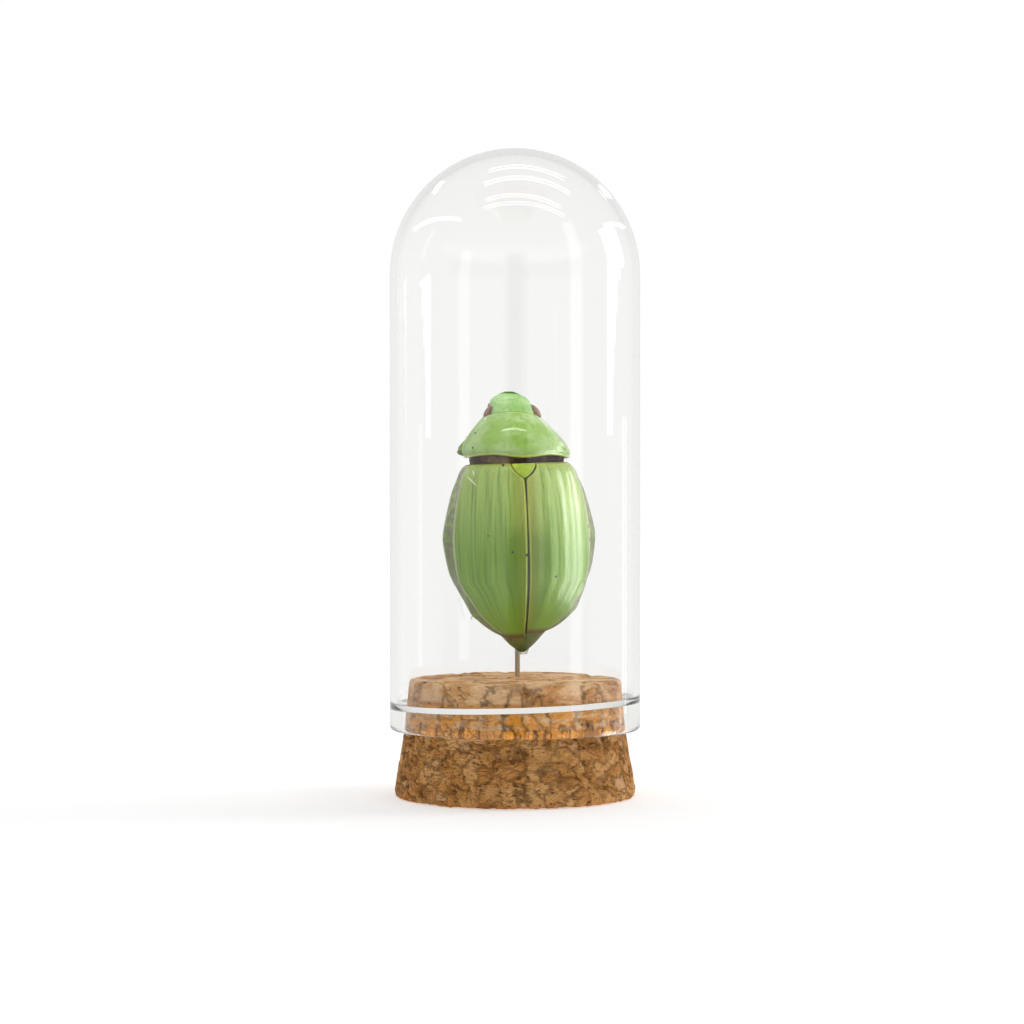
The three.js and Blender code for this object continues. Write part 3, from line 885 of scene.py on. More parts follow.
@dataclass
class CorkStopper:
    """The tapered stopper of pressed granules, modelled granule by granule on its skin."""

    foot_radius: float = 14.5
    neck_radius: float = 13.3
    top_radius: float = 12.75
    neck_z: float = 8.0
    height: float = 14.1
    edge: float = 0.4
    granule: float = 2.5
    cleft_width: float = 0.32
    cleft_depth: float = 0.35
    pin_dent: Point = (0.12, 0.6)
    crumb_depth: float = 0.05
    granule_depth: float = 0.07
    foot_wear: float = 0.3
    seed: int = 11
    finish: PressedCork = PressedCork()

    def profile(self) -> list[Point]:
        """Section of the stopper with close stations, from the foot's centre to the top's."""
        foot = self.foot_radius - self.edge
        top = self.top_radius - self.edge
        side = [
            (mix(self.foot_radius, self.neck_radius, t), mix(self.edge * 2, self.neck_z, t))
            for t in spaced(0, 1, 26)
        ]
        neck = [
            (
                mix(self.neck_radius, self.top_radius, t),
                mix(self.neck_z, self.height - self.edge, t),
            )
            for t in spaced(0, 1, 21)
        ]
        under = [(r, 0.0) for r in spaced(0, foot, 12)]
        lid = [(r, self.height) for r in spaced(top, 0, 42)]
        foot_edge, top_edge = (foot + 0.25, 0.15), (top + 0.25, self.height - 0.12)
        return [*under, foot_edge, *side, *neck[1:], top_edge, *lid]

    def granule_tree(self) -> tuple[kdtree.KDTree, list[float]]:
        """Scatter granule centres through the stopper.

        Returns:
            The centres as a search tree and a random tone for each.
        """
        rng = random.Random(self.seed)
        steps = int(self.foot_radius / self.granule) + 1
        levels = int(self.height / self.granule) + 2
        centres = [
            Vector((i, j, k * 0.8)) * self.granule
            + Vector([rng.uniform(-0.5, 0.5) * self.granule for _ in range(3)])
            for i in range(-steps, steps + 1)
            for j in range(-steps, steps + 1)
            for k in range(-1, levels + 1)
        ]
        tree = kdtree.KDTree(len(centres))
        for index, centre in enumerate(centres):
            tree.insert(centre, index)
        tree.balance()
        return tree, [rng.random() for _ in centres]

    def build(self) -> bpy.types.Object:
        """Spin the stopper, sink the clefts between its granules and dress it."""
        # Without a seed of its own the vector noise would start from the clock.
        noise.seed_set(self.seed)
        piece = lathe("cork_base_pressed", self.profile(), 256)
        tree, tones = self.granule_tree()
        mesh = piece.data
        tone = mesh.attributes.new("granule", "FLOAT", "POINT").data
        cleft = mesh.attributes.new("crevice_shade", "FLOAT", "POINT").data
        normals = [v.normal.copy() for v in mesh.vertices]
        for vertex, normal in zip(mesh.vertices, normals):
            p = vertex.co / MM
            warp = noise.noise_vector(p * 0.4) * 1.4 + noise.noise_vector(p * 1.3) * 0.6
            q = (p + warp + noise.noise_vector(p * 3.1) * 0.25).xyz
            q.z *= 1.6
            (_, index, near), (_, _, second) = tree.find_n(q, 2)
            gap = 1 - smoothstep(0.0, self.cleft_width, second - near)
            worn = smoothstep(-0.1, 0.35, noise.noise(p * 0.6))
            crumb = noise.fractal(p * 1.9, 0.7, 2.0, 4)
            deep = self.cleft_depth * gap * worn + self.crumb_depth * (1 + crumb)
            deep += self.granule_depth * tones[index]
            if p.z > self.height - 1:
                dent, spread = self.pin_dent
                deep += dent * bell(math.dist(p.xy, PIN_PLACE), 0, spread)
            # The foot is worn ragged.
            deep += self.foot_wear * max(0.0, noise.noise(p * 0.9)) * smoothstep(1.2, 0.1, p.z)
            if p.z < 0.05 and math.hypot(p.x, p.y) < self.foot_radius - 1:
                deep = 0.0
            vertex.co = (p - normal * deep) * MM
            tone[vertex.index].value = tones[index]
            # Where the clefts lie, for the material's painted shade.
            cleft[vertex.index].value = gap * mix(0.3, 1.0, worn)
        for polygon in mesh.polygons:
            polygon.use_smooth = True
        return dress(piece, self.finish, "cork_base")


@dataclass
class Pin:
    """The steel wire that stands in the cork and carries the beetle."""

    radius: float = 0.3
    foot_z: float = 7.0
    top_z: float = 30.5
    end_bevel: float = 0.12
    finish: DrawnSteel = DrawnSteel()

    def build(self) -> bpy.types.Object:
        """Add the wire, break its end edges with a bevel and dress it."""
        deselect()
        bpy.ops.mesh.primitive_cylinder_add(
            vertices=32, radius=self.radius * MM, depth=(self.top_z - self.foot_z) * MM
        )
        piece = bpy.context.object
        piece.name = piece.data.name = "pin_wire"
        middle = (self.top_z + self.foot_z) / 2
        piece.data.transform(Matrix.Translation(Vector((*PIN_PLACE, middle)) * MM))
        bpy.ops.object.mode_set(mode="EDIT")
        bpy.ops.mesh.select_all(action="DESELECT")
        bpy.ops.object.mode_set(mode="OBJECT")
        for edge in piece.data.edges:
            heights = [piece.data.vertices[v].co.z for v in edge.vertices]
            edge.select = abs(heights[0] - heights[1]) < 1e-6
        bpy.ops.object.mode_set(mode="EDIT")
        bpy.ops.mesh.bevel(offset=self.end_bevel * MM, segments=4, affect="EDGES")
        bpy.ops.object.mode_set(mode="OBJECT")
        return dress(piece, self.finish, "pin", crisp=40)


@dataclass
class GlueBead:
    """The drop of glue round the pin that reaches the belly."""

    low_z: float = 16.5
    high_z: float = 26.0
    finish: HotGlue = HotGlue()
    reach: SmoothCurve = SmoothCurve(
        (0, 0.3), (0.2, 0.65), (0.45, 1.7), (0.6, 1.6), (0.8, 1.2), (1, 0.7)
    )

    def build(self) -> bpy.types.Object:
        """Loft the drop, ripple its skin and dress it."""
        rings = []
        pin_x, pin_y = PIN_PLACE
        for t in spaced(0.02, 0.99, 40):
            swell = math.sin(math.pi * t) ** 0.75
            z = mix(self.low_z, self.high_z, t)
            centre = Vector((pin_x + 0.75 * (1 - t) ** 2, pin_y + 0.05, z))
            ring = []
            for i in range(32):
                angle = 2 * math.pi * (i + 0.5) / 32
                back = 0.1 + (self.reach(t) if math.cos(angle) > 0 else 0.75) * swell
                wide = 0.25 + 1.5 * swell
                p = Vector((wide * math.sin(angle), -back * math.cos(angle), 0))
                ring.append(centre + p * (1 - 0.07 * noise.noise(centre + p * 0.9) - 0.04))
            rings.append(ring)
        return dress(skin("glue_bead_drop", rings), self.finish, "glue_bead", crisp=70)


# The beetle -------------------------------------------------------------------------------------


class Side(Enum):
    """Left or right of the beetle; the value is the sign of X."""

    LEFT = -1
    RIGHT = 1

    @property
    def word(self) -> str:
        """The side as used in node names."""
        return self.name.lower()


@dataclass(frozen=True)
class Pose:
    """Where the beetle stands: head up, its back turned a little to the viewer's right."""

    x: float = 0.2
    z: float = 39.8
    yaw: float = 9.0
    lean: float = -1.7
    drift: float = -0.12
    hind_edge: float = 0.75

    @property
    def fore(self) -> Matrix:
        """Frame of head, shield and front legs."""
        return Matrix.Translation((self.x, 0, self.z)) @ Matrix.Rotation(
            math.radians(self.yaw), 4, "Z"
        )

    @property
    def hind(self) -> Matrix:
        """Frame of the wing cases and all behind them."""
        return self.fore @ Matrix.Rotation(math.radians(self.lean), 4, "Y")

    def centre(self, z: float) -> float:
        """Sideways place of the fore body's middle at a height."""
        return self.drift * (z - self.hind_edge)


@dataclass
class BodyForm:
    """A body section that changes along Z: an oval with its own depths to back and belly.

    The functions of a height give the half width, both depths, the middle's X and the bow along X;
    relief adds height to the skin and lift raises a point.
    """

    width: Section
    back: Section
    belly: Section
    centre: Section = lambda z: 0.0
    bow: Section = lambda z: 0.0
    relief: Radial = lambda z, angle: 0.0
    lift: Radial = lambda z, x: 0.0
    crowd: float = 0.0
    square: float = 1.0

    def angle(self, i: int, points: int) -> float:
        """Angle of a ring point; points crowd at the sides where crowd is above 0."""
        even = 2 * math.pi * (i + 0.5) / points
        return even + 0.5 * self.crowd * math.sin(2 * even)

    def ring(self, z: float, points: int) -> Ring:
        """One ring, started at the middle of the back."""
        ring = []
        for i in range(points):
            angle = self.angle(i, points)
            more = self.relief(z, angle)
            across = math.sin(angle)
            x = (self.width(z) + more) * math.copysign(abs(across) ** self.square, across)
            inwards = math.cos(angle)
            inwards = math.copysign(abs(inwards) ** self.square, inwards)
            depth = self.back(z) if inwards > 0 else self.belly(z)
            y = -inwards * (depth + more)
            up = z + self.bow(z) * x * x + self.lift(z, x)
            ring.append(Vector((self.centre(z) + x, y, up)))
        return ring

    def rings(self, heights: Iterable[float], points: int) -> list[Ring]:
        """One ring at each height."""
        return [self.ring(z, points) for z in heights]


# Half width of both wing cases and of their vault at distances from the front edge.
CASE_SIDE = ((0, 6.3), (0.4, 6.62), (2, 7.25), (5, 7.8), (9, 8.1), (12, 8.1), (14.2, 7.92))


@dataclass
class WingCases:
    """The two ribbed wing cases with their widened side margins."""

    pose: Pose
    thickness: float = 0.45
    rib_height: float = 0.1
    ribs: int = CASE_RIBS
    drop: float = 0.5
    stations: int = 130
    across: int = 98
    vault: SmoothCurve = SmoothCurve(*CASE_SIDE, (16, 7.45), (18, 6.6), (20.4, 5.3))
    outline: SmoothCurve = SmoothCurve(
        *CASE_SIDE, (16, 7.2), (17.8, 6), (19, 4.6), (19.8, 3.2), (20.4, 1.4)
    )
    flange: SmoothCurve = SmoothCurve(
        (0, 0), (1.5, 0.08), (3.8, 0.45), (6, 0.76), (8.9, 1.06), (11, 0.78), (13, 0.42),
        (14.2, 0.06), (15, 0), (20.4, 0),
    )
    crest: SmoothCurve = SmoothCurve(
        (0, 5.05), (0.4, 5.5), (2, 6.1), (5, 6.7), (9, 6.9), (12, 6.75), (15, 6),
        (17, 5.05), (18.8, 3.85), (20.4, 2.55),
    )
    gap: SmoothCurve = SmoothCurve(
        (0, 1.52), (0.5, 1.44), (1, 1.17), (1.45, 0.73), (1.9, 0.15), (2.3, 0.06),
        (2.7, 0.05), (12, 0.05), (20.4, 0.12),
    )
    finish: WingCaseCuticle = WingCaseCuticle(
        name="ribbed_green_cuticle",
        base="#78a230",
        pale="#a4c05a",
        deep="#557c18",
        rim="#c3c240",
        coat=0.8,
        coat_roughness=0.26,
        pit_depth=0.03,
        pit_shade=0.3,
        specks=(
            (-3.12, 31.2, 0.13), (-0.3, 29.3, 0.15), (1.4, 28.95, 0.22), (4.8, 26.4, 0.16),
            (-1.4, 39.5, 0.2), (2.3, 39.25, 0.22), (2.0, 38.6, 0.18),
        ),
        scars=(
            (-5.13, 37.7, 1.1, 45, "#e8eed8"),
            (-4.9, 38.6, 0.5, 70, "#dfe8c8"),
            (8.95, 30.7, 0.35, 80, "#5a3a20"),
            (8.75, 32.3, 0.3, 75, "#6a4a28"),
        ),
    )

    def lane(self, d: float, angle: float) -> float:
        """Place across the ribs: 0 at the middle of the back to 1 at the side margin."""
        margin = math.asin(min(1.0, self.outline(d) / self.vault(d)))
        start = math.asin(0.07 / self.vault(d))
        return (angle - start) / (margin - start)

    def relief(self, d: float, angle: float, u: float) -> float:
        """Height of ribs, side ridge, shoulder bump and edge roundings over the vault.

        Args:
            d: Distance from the front edge, millimetres.
            angle: Angle round the body from the middle of the back.
            u: 0 at the wing case's inner edge to 1 at its side margin.

        Returns:
            Height in millimetres.
        """
        flat = 1 - 0.7 * smoothstep(11, 18, d)
        wave = 0.5 - 0.5 * math.cos(2 * math.pi * self.ribs * self.lane(d, angle))
        rib = self.rib_height * flat * wave**0.8 * smoothstep(0.0, 1.2, d)
        ridge = 0.14 * bell(angle, math.radians(64), 0.07)
        shoulder = 0.16 * bell(angle, math.radians(50), 0.16) * bell(d, 1.9, 1.3)
        ripple = 0.02 * noise.noise(Vector((angle * 11, d * 0.5, 3.0)))
        seam = -0.1 * bell(u, 0, 0.012) + 0.02 * bell(u, 0.03, 0.012)
        rim = -0.12 * bell(u, 1, 0.012) + 0.05 * bell(u, 0.965, 0.02)
        front = -0.16 * bell(d, 0, 0.16)
        return rib + ridge + shoulder + ripple + seam + rim + front

    def edge(self, u: float, v: float) -> float:
        """1 on the yellow edges of seam, margin and front; -1 on the painted shade in the seam and
        along the front edge.
        """
        yellow = 0.7 * bell(u, 0.018, 0.008) + bell(u, 0.985, 0.012) + 0.8 * bell(v, 0.012, 0.006)
        return yellow - 1.8 * bell(u, 0, 0.005) - 0.8 * bell(v, 0, 0.004)

    def steps(self) -> list[float]:
        """Places of the points from inner edge to margin; they crowd at both edges."""
        even = spaced(0, 1, self.across + 1)
        return [mix(0.5 - 0.5 * math.cos(math.pi * t), t, 0.6) for t in even]

    def turn(self, d: float, u: float, inset: float = 0.0) -> float:
        """Angle round the body of a place across the wing case."""
        vault = self.vault(d)
        seam = math.asin(self.gap(d) / (vault - inset))
        return mix(seam, math.asin(min(1.0, self.outline(d) / vault)), u)

    def ring(self, d: float, side: Side) -> Ring:
        """One closed ring through a wing case: outer face, then inner face back."""
        vault, height = self.vault(d), self.crest(d)
        drop = self.drop * smoothstep(15, CASE_LENGTH, d) if side is Side.LEFT else 0.0

        def face(inset: float, u: float) -> Vector:
            """Point of the outer face (inset 0) or of the inner one."""
            angle = self.turn(d, u, inset)
            more = -inset if inset else self.relief(d, angle, u)
            spread = self.flange(d) * smoothstep(1.05, 1.45, angle)
            x = (vault + more) * math.sin(angle) + spread
            return Vector((side.value * x, -(height + more) * math.cos(angle), -d - drop))

        outer = [face(0, u) for u in self.steps()]
        inner = [face(self.thickness, u) for u in reversed(self.steps())]
        return outer + inner

    def build(self, side: Side) -> bpy.types.Object:
        """Loft one wing case and dress it."""
        d_values = [
            0, 0.05, 0.12, 0.22, 0.35, *spaced(0.5, 19.4, self.stations), 19.6, 19.8, 19.95, 20.1,
            20.2, 20.3,
        ]
        rings = [self.ring(d, side) for d in d_values]
        across = self.steps() + self.steps()[::-1]
        count = len(across)

        def uv(r: int, i: int) -> Point:
            """UV place of a ring point: its lane and its distance; the inner face repeats it."""
            d = d_values[r]
            return (self.lane(d, self.turn(d, across[i % count])), d / CASE_LENGTH)

        piece = skin(f"elytron_{side.word}_ribbed", rings, self.pose.hind, uv)
        mark(piece, "rim", [self.edge(u, d / CASE_LENGTH) for d in d_values for u in across])
        return dress(piece, self.finish, f"elytron_{side.word}", crisp=50)


@dataclass
class ForeBody:
    """Head and neck shield, with the eyes and antennae."""

    pose: Pose
    hind: float = 0.75
    front: float = 6.15
    arch: float = 0.046
    wave: float = 0.17
    wave_reach: float = 3.6
    brow_z: float = 6.38
    eye_radii: tuple[float, float, float] = (0.5, 0.95, 1.05)
    eye_slant: float = -36.0
    shield_finish: Cuticle = Cuticle(
        name="smooth_green_cuticle",
        base="#92bc4c",
        pale="#aaca7a",
        deep="#76aa3a",
        coat=1.0,
        coat_roughness=0.12,
        pit_shade=0.05,
        specks=((-4.7, 43.4, 0.14), (-5.0, 41.6, 0.16)),
    )
    head_finish: Cuticle = Cuticle(
        name="pitted_green_cuticle",
        base="#94c468",
        pale="#acd48c",
        deep="#74a44c",
        pit_shade=0.06,
    )
    eye_finish: Cuticle = Cuticle(
        name="faceted_brown_eye",
        base="#70483a",
        pale="#93705e",
        deep="#331c14",
        coat=1.0,
        pit_size=0.09,
        pit_depth=0.03,
    )
    antenna_finish: Cuticle = Cuticle(
        name="red_brown_cuticle",
        base="#6a2f1c",
        pale="#8c4a2c",
        deep="#35150c",
        pit_size=0.12,
    )

    def forward(self, z: float) -> float:
        """Height on the neck shield, 0 at its hind edge to 1 at its front."""
        return (z - self.hind) / (self.front - self.hind)

    def waved(self, x: float) -> float:
        """Lift of the shield's hind edge, which waves from side to side."""
        return -self.wave * math.cos(math.pi * x / self.wave_reach)

    def shield_form(self) -> BodyForm:
        """Section of the neck shield."""
        width = SmoothCurve(
            (0.75, 6.2), (1.1, 6.4), (2.4, 6.25), (3.3, 5.8), (4.1, 5.3), (5.1, 4.5), (6.15, 3.4)
        )
        back = SmoothCurve(
            (0.75, 5.1), (1.1, 5.45), (2.4, 5.35), (3.6, 4.75), (5.1, 3.5), (6.15, 2.35)
        )

        def relief(z: float, angle: float) -> float:
            """Raised bead along the hind edge and along both sides."""
            s = z - self.hind
            bead = 0.06 * bell(s, 0.14, 0.1) - 0.05 * bell(s, 0.4, 0.1) - 0.1 * bell(s, 0, 0.06)
            up = self.above_side(angle)
            side = 0.07 * bell(up, 0.06, 0.045) - 0.05 * bell(up, 0.16, 0.04)
            tip = -0.08 * bell(z, self.front, 0.08)
            return bead + side + tip

        return BodyForm(
            width,
            back,
            lambda z: 3.1 - 0.6 * self.forward(z),
            self.pose.centre,
            lambda z: -self.arch * self.forward(z) ** 2,
            relief,
            lambda z, x: self.waved(x) * (1 - self.forward(z)) ** 4,
            crowd=0.8,
        )

    @staticmethod
    def above_side(angle: float) -> float:
        """Angle from the shield's side towards the middle of its back, 9 below the side."""
        return math.asin(math.cos(angle)) if math.cos(angle) > -0.02 else 9.0

    def build_shield(self) -> bpy.types.Object:
        """Loft the neck shield with its hollow hind face."""
        form = self.shield_form()
        heights = [
            self.hind, 0.78, 0.83, 0.9, 0.98, 1.06, 1.14, 1.24, 1.34,
            *spaced(1.45, 5.9, 60), 5.98, 6.05, 6.11, self.front,
        ]
        hollow = BodyForm(
            lambda z: 6.05, lambda z: 4.85, lambda z: 2.85, self.pose.centre,
            lift=lambda z, x: self.waved(x) * 0.5,
            crowd=0.8,
        )
        count = 200
        rings = [hollow.ring(self.hind + 0.5, count), *form.rings(heights, count)]
        piece = skin("pronotum_shield", rings, self.pose.fore)

        def rim(z: float, i: int) -> float:
            """1 on the yellow bead of the hind edge and the sides, -1 on the painted shade in the
            groove inside it.
            """
            up = self.above_side(form.angle(i, count))
            s = z - self.hind
            bead = max(bell(up, 0.05, 0.05), bell(s, 0.12, 0.12), 0.7 * bell(z, self.front, 0.08))
            return bead - 0.5 * bell(up, 0.16, 0.04) - 0.5 * bell(s, 0.42, 0.1)

        mark(piece, "rim", [rim(z, i) for z in (0.0, *heights) for i in range(count)])
        return dress(piece, self.shield_finish, "pronotum", crisp=50)

    def build_head(self) -> bpy.types.Object:
        """Loft the head with the rim and the seam of its face plate."""
        width = SmoothCurve(
            (6.17, 2.7), (6.6, 2.65), (7.1, 2.5), (7.5, 2.46), (7.8, 2.32), (8.08, 2.02),
            (8.38, 1.25), (8.65, 0.5),
        )
        back = SmoothCurve((6.17, 2.3), (7.3, 1.5), (8, 0.6), (8.65, -0.6))
        belly = SmoothCurve((6.17, 2.3), (7.3, 2.2), (8.1, 1.8), (8.65, 1.2))

        def relief(z: float, angle: float) -> float:
            """Rim of the face plate and its seam across the brow."""
            seam = -0.05 * bell(z + 0.25 * math.sin(angle) ** 2, 7.55, 0.06)
            rim = 0.07 * bell(z, 8.45, 0.1) * smoothstep(-0.2, 0.4, math.cos(angle))
            return seam + rim

        form = BodyForm(
            width, back, belly, self.pose.centre, lambda z: -self.arch, relief, square=0.72
        )
        rings = form.rings([*spaced(6.17, 8.5, 60), 8.55, 8.6, 8.65], 120)
        piece = skin("head_capsule", rings, self.pose.fore)
        return dress(piece, self.head_finish, "head", crisp=60)

    def build_eye(self, side: Side) -> bpy.types.Object:
        """Round eye let into the side of the head."""
        x = self.pose.centre(self.brow_z) + 0.1 + side.value * 2.78
        slant = Matrix.Rotation(math.radians(self.eye_slant * side.value), 4, "Y")
        place = self.pose.fore @ Matrix.Translation((x, -0.2, 6.2)) @ slant
        piece = ellipsoid(f"eye_{side.word}_faceted", Vector(), self.eye_radii, place)
        return dress(piece, self.eye_finish, f"eye_{side.word}")

    def build_antenna(self, side: Side) -> bpy.types.Object:
        """Beaded stalk and a club of three leaves."""
        drift = self.pose.centre(self.brow_z)
        points = [
            Vector((drift + side.value * x, y, z))
            for x, y, z in ((1.5, 2.75, 7.7), (2.15, 3.0, 7.3), (2.3, 3.1, 6.6), (2.1, 3.05, 6.15))
        ]

        def beads(t: float) -> float:
            """Radius of the stalk with its six beads."""
            return 0.11 + 0.05 * abs(math.sin(math.pi * 6 * t)) + 0.05 * bell(t, 0, 0.1)

        parts = [skin("stalk", limb_rings(points, beads, 60, 12), self.pose.fore)]
        for leaf in (-1, 0, 1):
            foot = Vector((drift + side.value * (1.95 + 0.12 * leaf), 3.05 + 0.1 * leaf, 5.8))
            parts.append(ellipsoid("leaf", foot, (0.07, 0.24, 0.42), self.pose.fore))
        piece = joined(f"antenna_{side.word}_clubbed", parts)
        return dress(piece, self.antenna_finish, f"antenna_{side.word}")


@dataclass
class HindBody:
    """Trunk, small shield, tail plate and the dark band before the wing cases."""

    pose: Pose
    wings: WingCases
    clear: float = 0.75
    mesothorax_end: float = 1.7
    thorax_end: float = 9.1
    abdomen_end: float = 18.9
    belly_plates: int = 5
    belly: SmoothCurve = SmoothCurve((0, 3.4), (3, 3.8), (9, 3.9), (13, 3.5), (17, 2.9), (22.6, 1))
    under_finish: Cuticle = Cuticle(
        name="satin_green_cuticle",
        base="#6f9a4a",
        pale="#8fb562",
        deep="#3f5f2a",
        coat=0.4,
    )
    band_finish: Cuticle = Cuticle(
        name="dry_dark_membrane",
        base="#3a2412",
        pale="#7a6434",
        deep="#160c06",
        roughness=0.6,
        coat=0.0,
        pit_size=0.35,
        pit_depth=0.06,
    )
    scutellum_finish: Cuticle = Cuticle(
        name="yellow_green_cuticle",
        base="#a8c63a",
        pale="#bcd44c",
        deep="#86a42c",
        rim="#d4da48",
    )
    tail_finish: Cuticle = Cuticle(
        name="stained_tail_cuticle",
        base="#55743a",
        pale="#7a7a4c",
        deep="#4a2f1c",
        coat=0.4,
    )

    def trunk_form(self, relief: Radial = lambda z, angle: 0.0) -> BodyForm:
        """Section of the trunk under the wing cases, at z = -distance."""
        return BodyForm(
            lambda z: min(self.wings.vault(-z), self.wings.outline(-z) + 0.2) - self.clear,
            lambda z: self.wings.crest(-z) - self.clear,
            lambda z: self.belly(-z),
            relief=relief,
        )

    def build_trunk(self) -> list[bpy.types.Object]:
        """Loft thorax and ringed abdomen."""

        def chest(z: float, angle: float) -> float:
            """Middle furrow and the seams between the breast plates."""
            below = smoothstep(0, -0.4, math.cos(angle))
            furrow = -0.12 * bell(math.sin(angle), 0, 0.05) * below
            along = z + 0.5 * abs(math.sin(angle))
            seams = sum(-0.1 * bell(along, at, 0.08) for at in (-2.6, -8.0))
            return furrow + seams * below

        form = self.trunk_form(chest)
        rings = form.rings(spaced(-self.mesothorax_end - 0.02, -self.thorax_end, 70), 96)
        hips = [
            ellipsoid("hip", Vector((s * x, y, z)), radii, self.pose.hind)
            for s in (-1, 1)
            for x, y, z, radii in (
                (1.5, 3.5, -3.2, (1.5, 0.75, 0.85)),
                (2.9, 3.25, -8.3, (2.5, 0.75, 0.75)),
            )
        ]
        thorax = joined("thorax_plated", [skin("trunk", rings, self.pose.hind), *hips])
        dress(thorax, self.under_finish, "thorax", crisp=50)

        start = self.thorax_end + 0.04
        plate = (self.abdomen_end - start) / self.belly_plates

        def tiles(z: float, angle: float) -> float:
            """Each belly plate swells to its hind edge and overlaps the next."""
            t = ((-z - start) / plate) % 1.0
            return -0.16 + 0.16 * smoothstep(0.0, 0.25, t) - 0.16 * smoothstep(0.93, 1.0, t)

        form = self.trunk_form(tiles)
        rings = form.rings(spaced(-start, -self.abdomen_end, 121), 96)
        abdomen = skin("abdomen_ringed", rings, self.pose.hind)
        dress(abdomen, self.under_finish, "abdomen", crisp=50)
        return [thorax, abdomen]

    def build_band(self) -> bpy.types.Object:
        """Dark body between neck shield and wing cases."""

        def folds(z: float, angle: float) -> float:
            """Dry folds that run across."""
            place = Vector((math.sin(angle) * 3, math.cos(angle) * 3, z * 5))
            return 0.09 * noise.fractal(place, 0.8, 2, 4)

        form = BodyForm(lambda z: 5.7, lambda z: 4.5, lambda z: 2.7, relief=folds)
        rings = form.rings(spaced(1.05, -self.mesothorax_end, 40), 128)
        piece = skin("mesothorax_band", rings, self.pose.hind)
        return dress(piece, self.band_finish, "mesothorax", crisp=60)

    def build_scutellum(self) -> bpy.types.Object:
        """Small triangular shield with curved sides and a soft raised rim."""
        half, length, thick = 1.42, 1.85, 0.45
        shape = SmoothCurve((0, 1), (0.3, 0.93), (0.6, 0.68), (0.85, 0.32), (1, 0.02))
        rings = []
        for t in spaced(0, 1, 40):
            wide = half * shape(t)
            ring = []
            for i in range(41):
                s = mix(-1, 1, i / 40)
                edge = smoothstep(1.0, 0.86, abs(s))
                edge *= smoothstep(0, 0.06, t) * smoothstep(1, 0.93, t)
                dome = 0.1 * (1 - s * s) * math.sin(math.pi * min(1, t + 0.1))
                ring.append(Vector((wide * s, -0.1 * edge - dome + 0.1, -t * length)))
            ring += [Vector((p.x, thick, p.z)) for p in reversed(ring)]
            rings.append(ring)
        tilt = Matrix.Translation((0, -5.12, -0.05)) @ Matrix.Rotation(math.radians(-17), 4, "X")
        piece = skin("scutellum_plate", rings, self.pose.hind @ tilt)
        # Rim attribute: 1 on the raised rim, below 0 on the painted shade along the side edges.
        near = [
            max(bell(abs(s), 0.9, 0.07), bell(t, 0.03, 0.04)) - 1.5 * bell(abs(s), 1, 0.03)
            for t in spaced(0, 1, 40)
            for s in (*spaced(-1, 1, 41), *spaced(1, -1, 41))
        ]
        mark(piece, "rim", near)
        return dress(piece, self.scutellum_finish, "scutellum", crisp=50)

    def build_tail(self) -> bpy.types.Object:
        """Tail plate with its side folds."""
        width = SmoothCurve((19, 4.1), (19.8, 3.3), (20.8, 2.3), (21.7, 1.45), (22.6, 0.3))
        back = SmoothCurve((19, 2.8), (20.4, 2.05), (21.6, 1.05), (22.6, -0.4))

        def side_fold(z: float, angle: float) -> float:
            """Fold along each side that ends before the tip."""
            return -0.08 * bell(abs(math.sin(angle)), 0.82, 0.03) * smoothstep(-22.4, -21, z)

        form = BodyForm(
            lambda z: width(-z), lambda z: back(-z), lambda z: self.belly(-z), relief=side_fold
        )
        rings = form.rings([-d for d in (*spaced(18.94, 22.4, 44), 22.5, 22.57, 22.6)], 80)
        piece = skin("pygidium_plate", rings, self.pose.hind)
        return dress(piece, self.tail_finish, "pygidium", crisp=60)


class LegPair(Enum):
    """Pairs of legs; the value names them."""

    FRONT = "front"
    MIDDLE = "middle"
    HIND = "hind"


Joints = dict[str, tuple[float, float, float]]


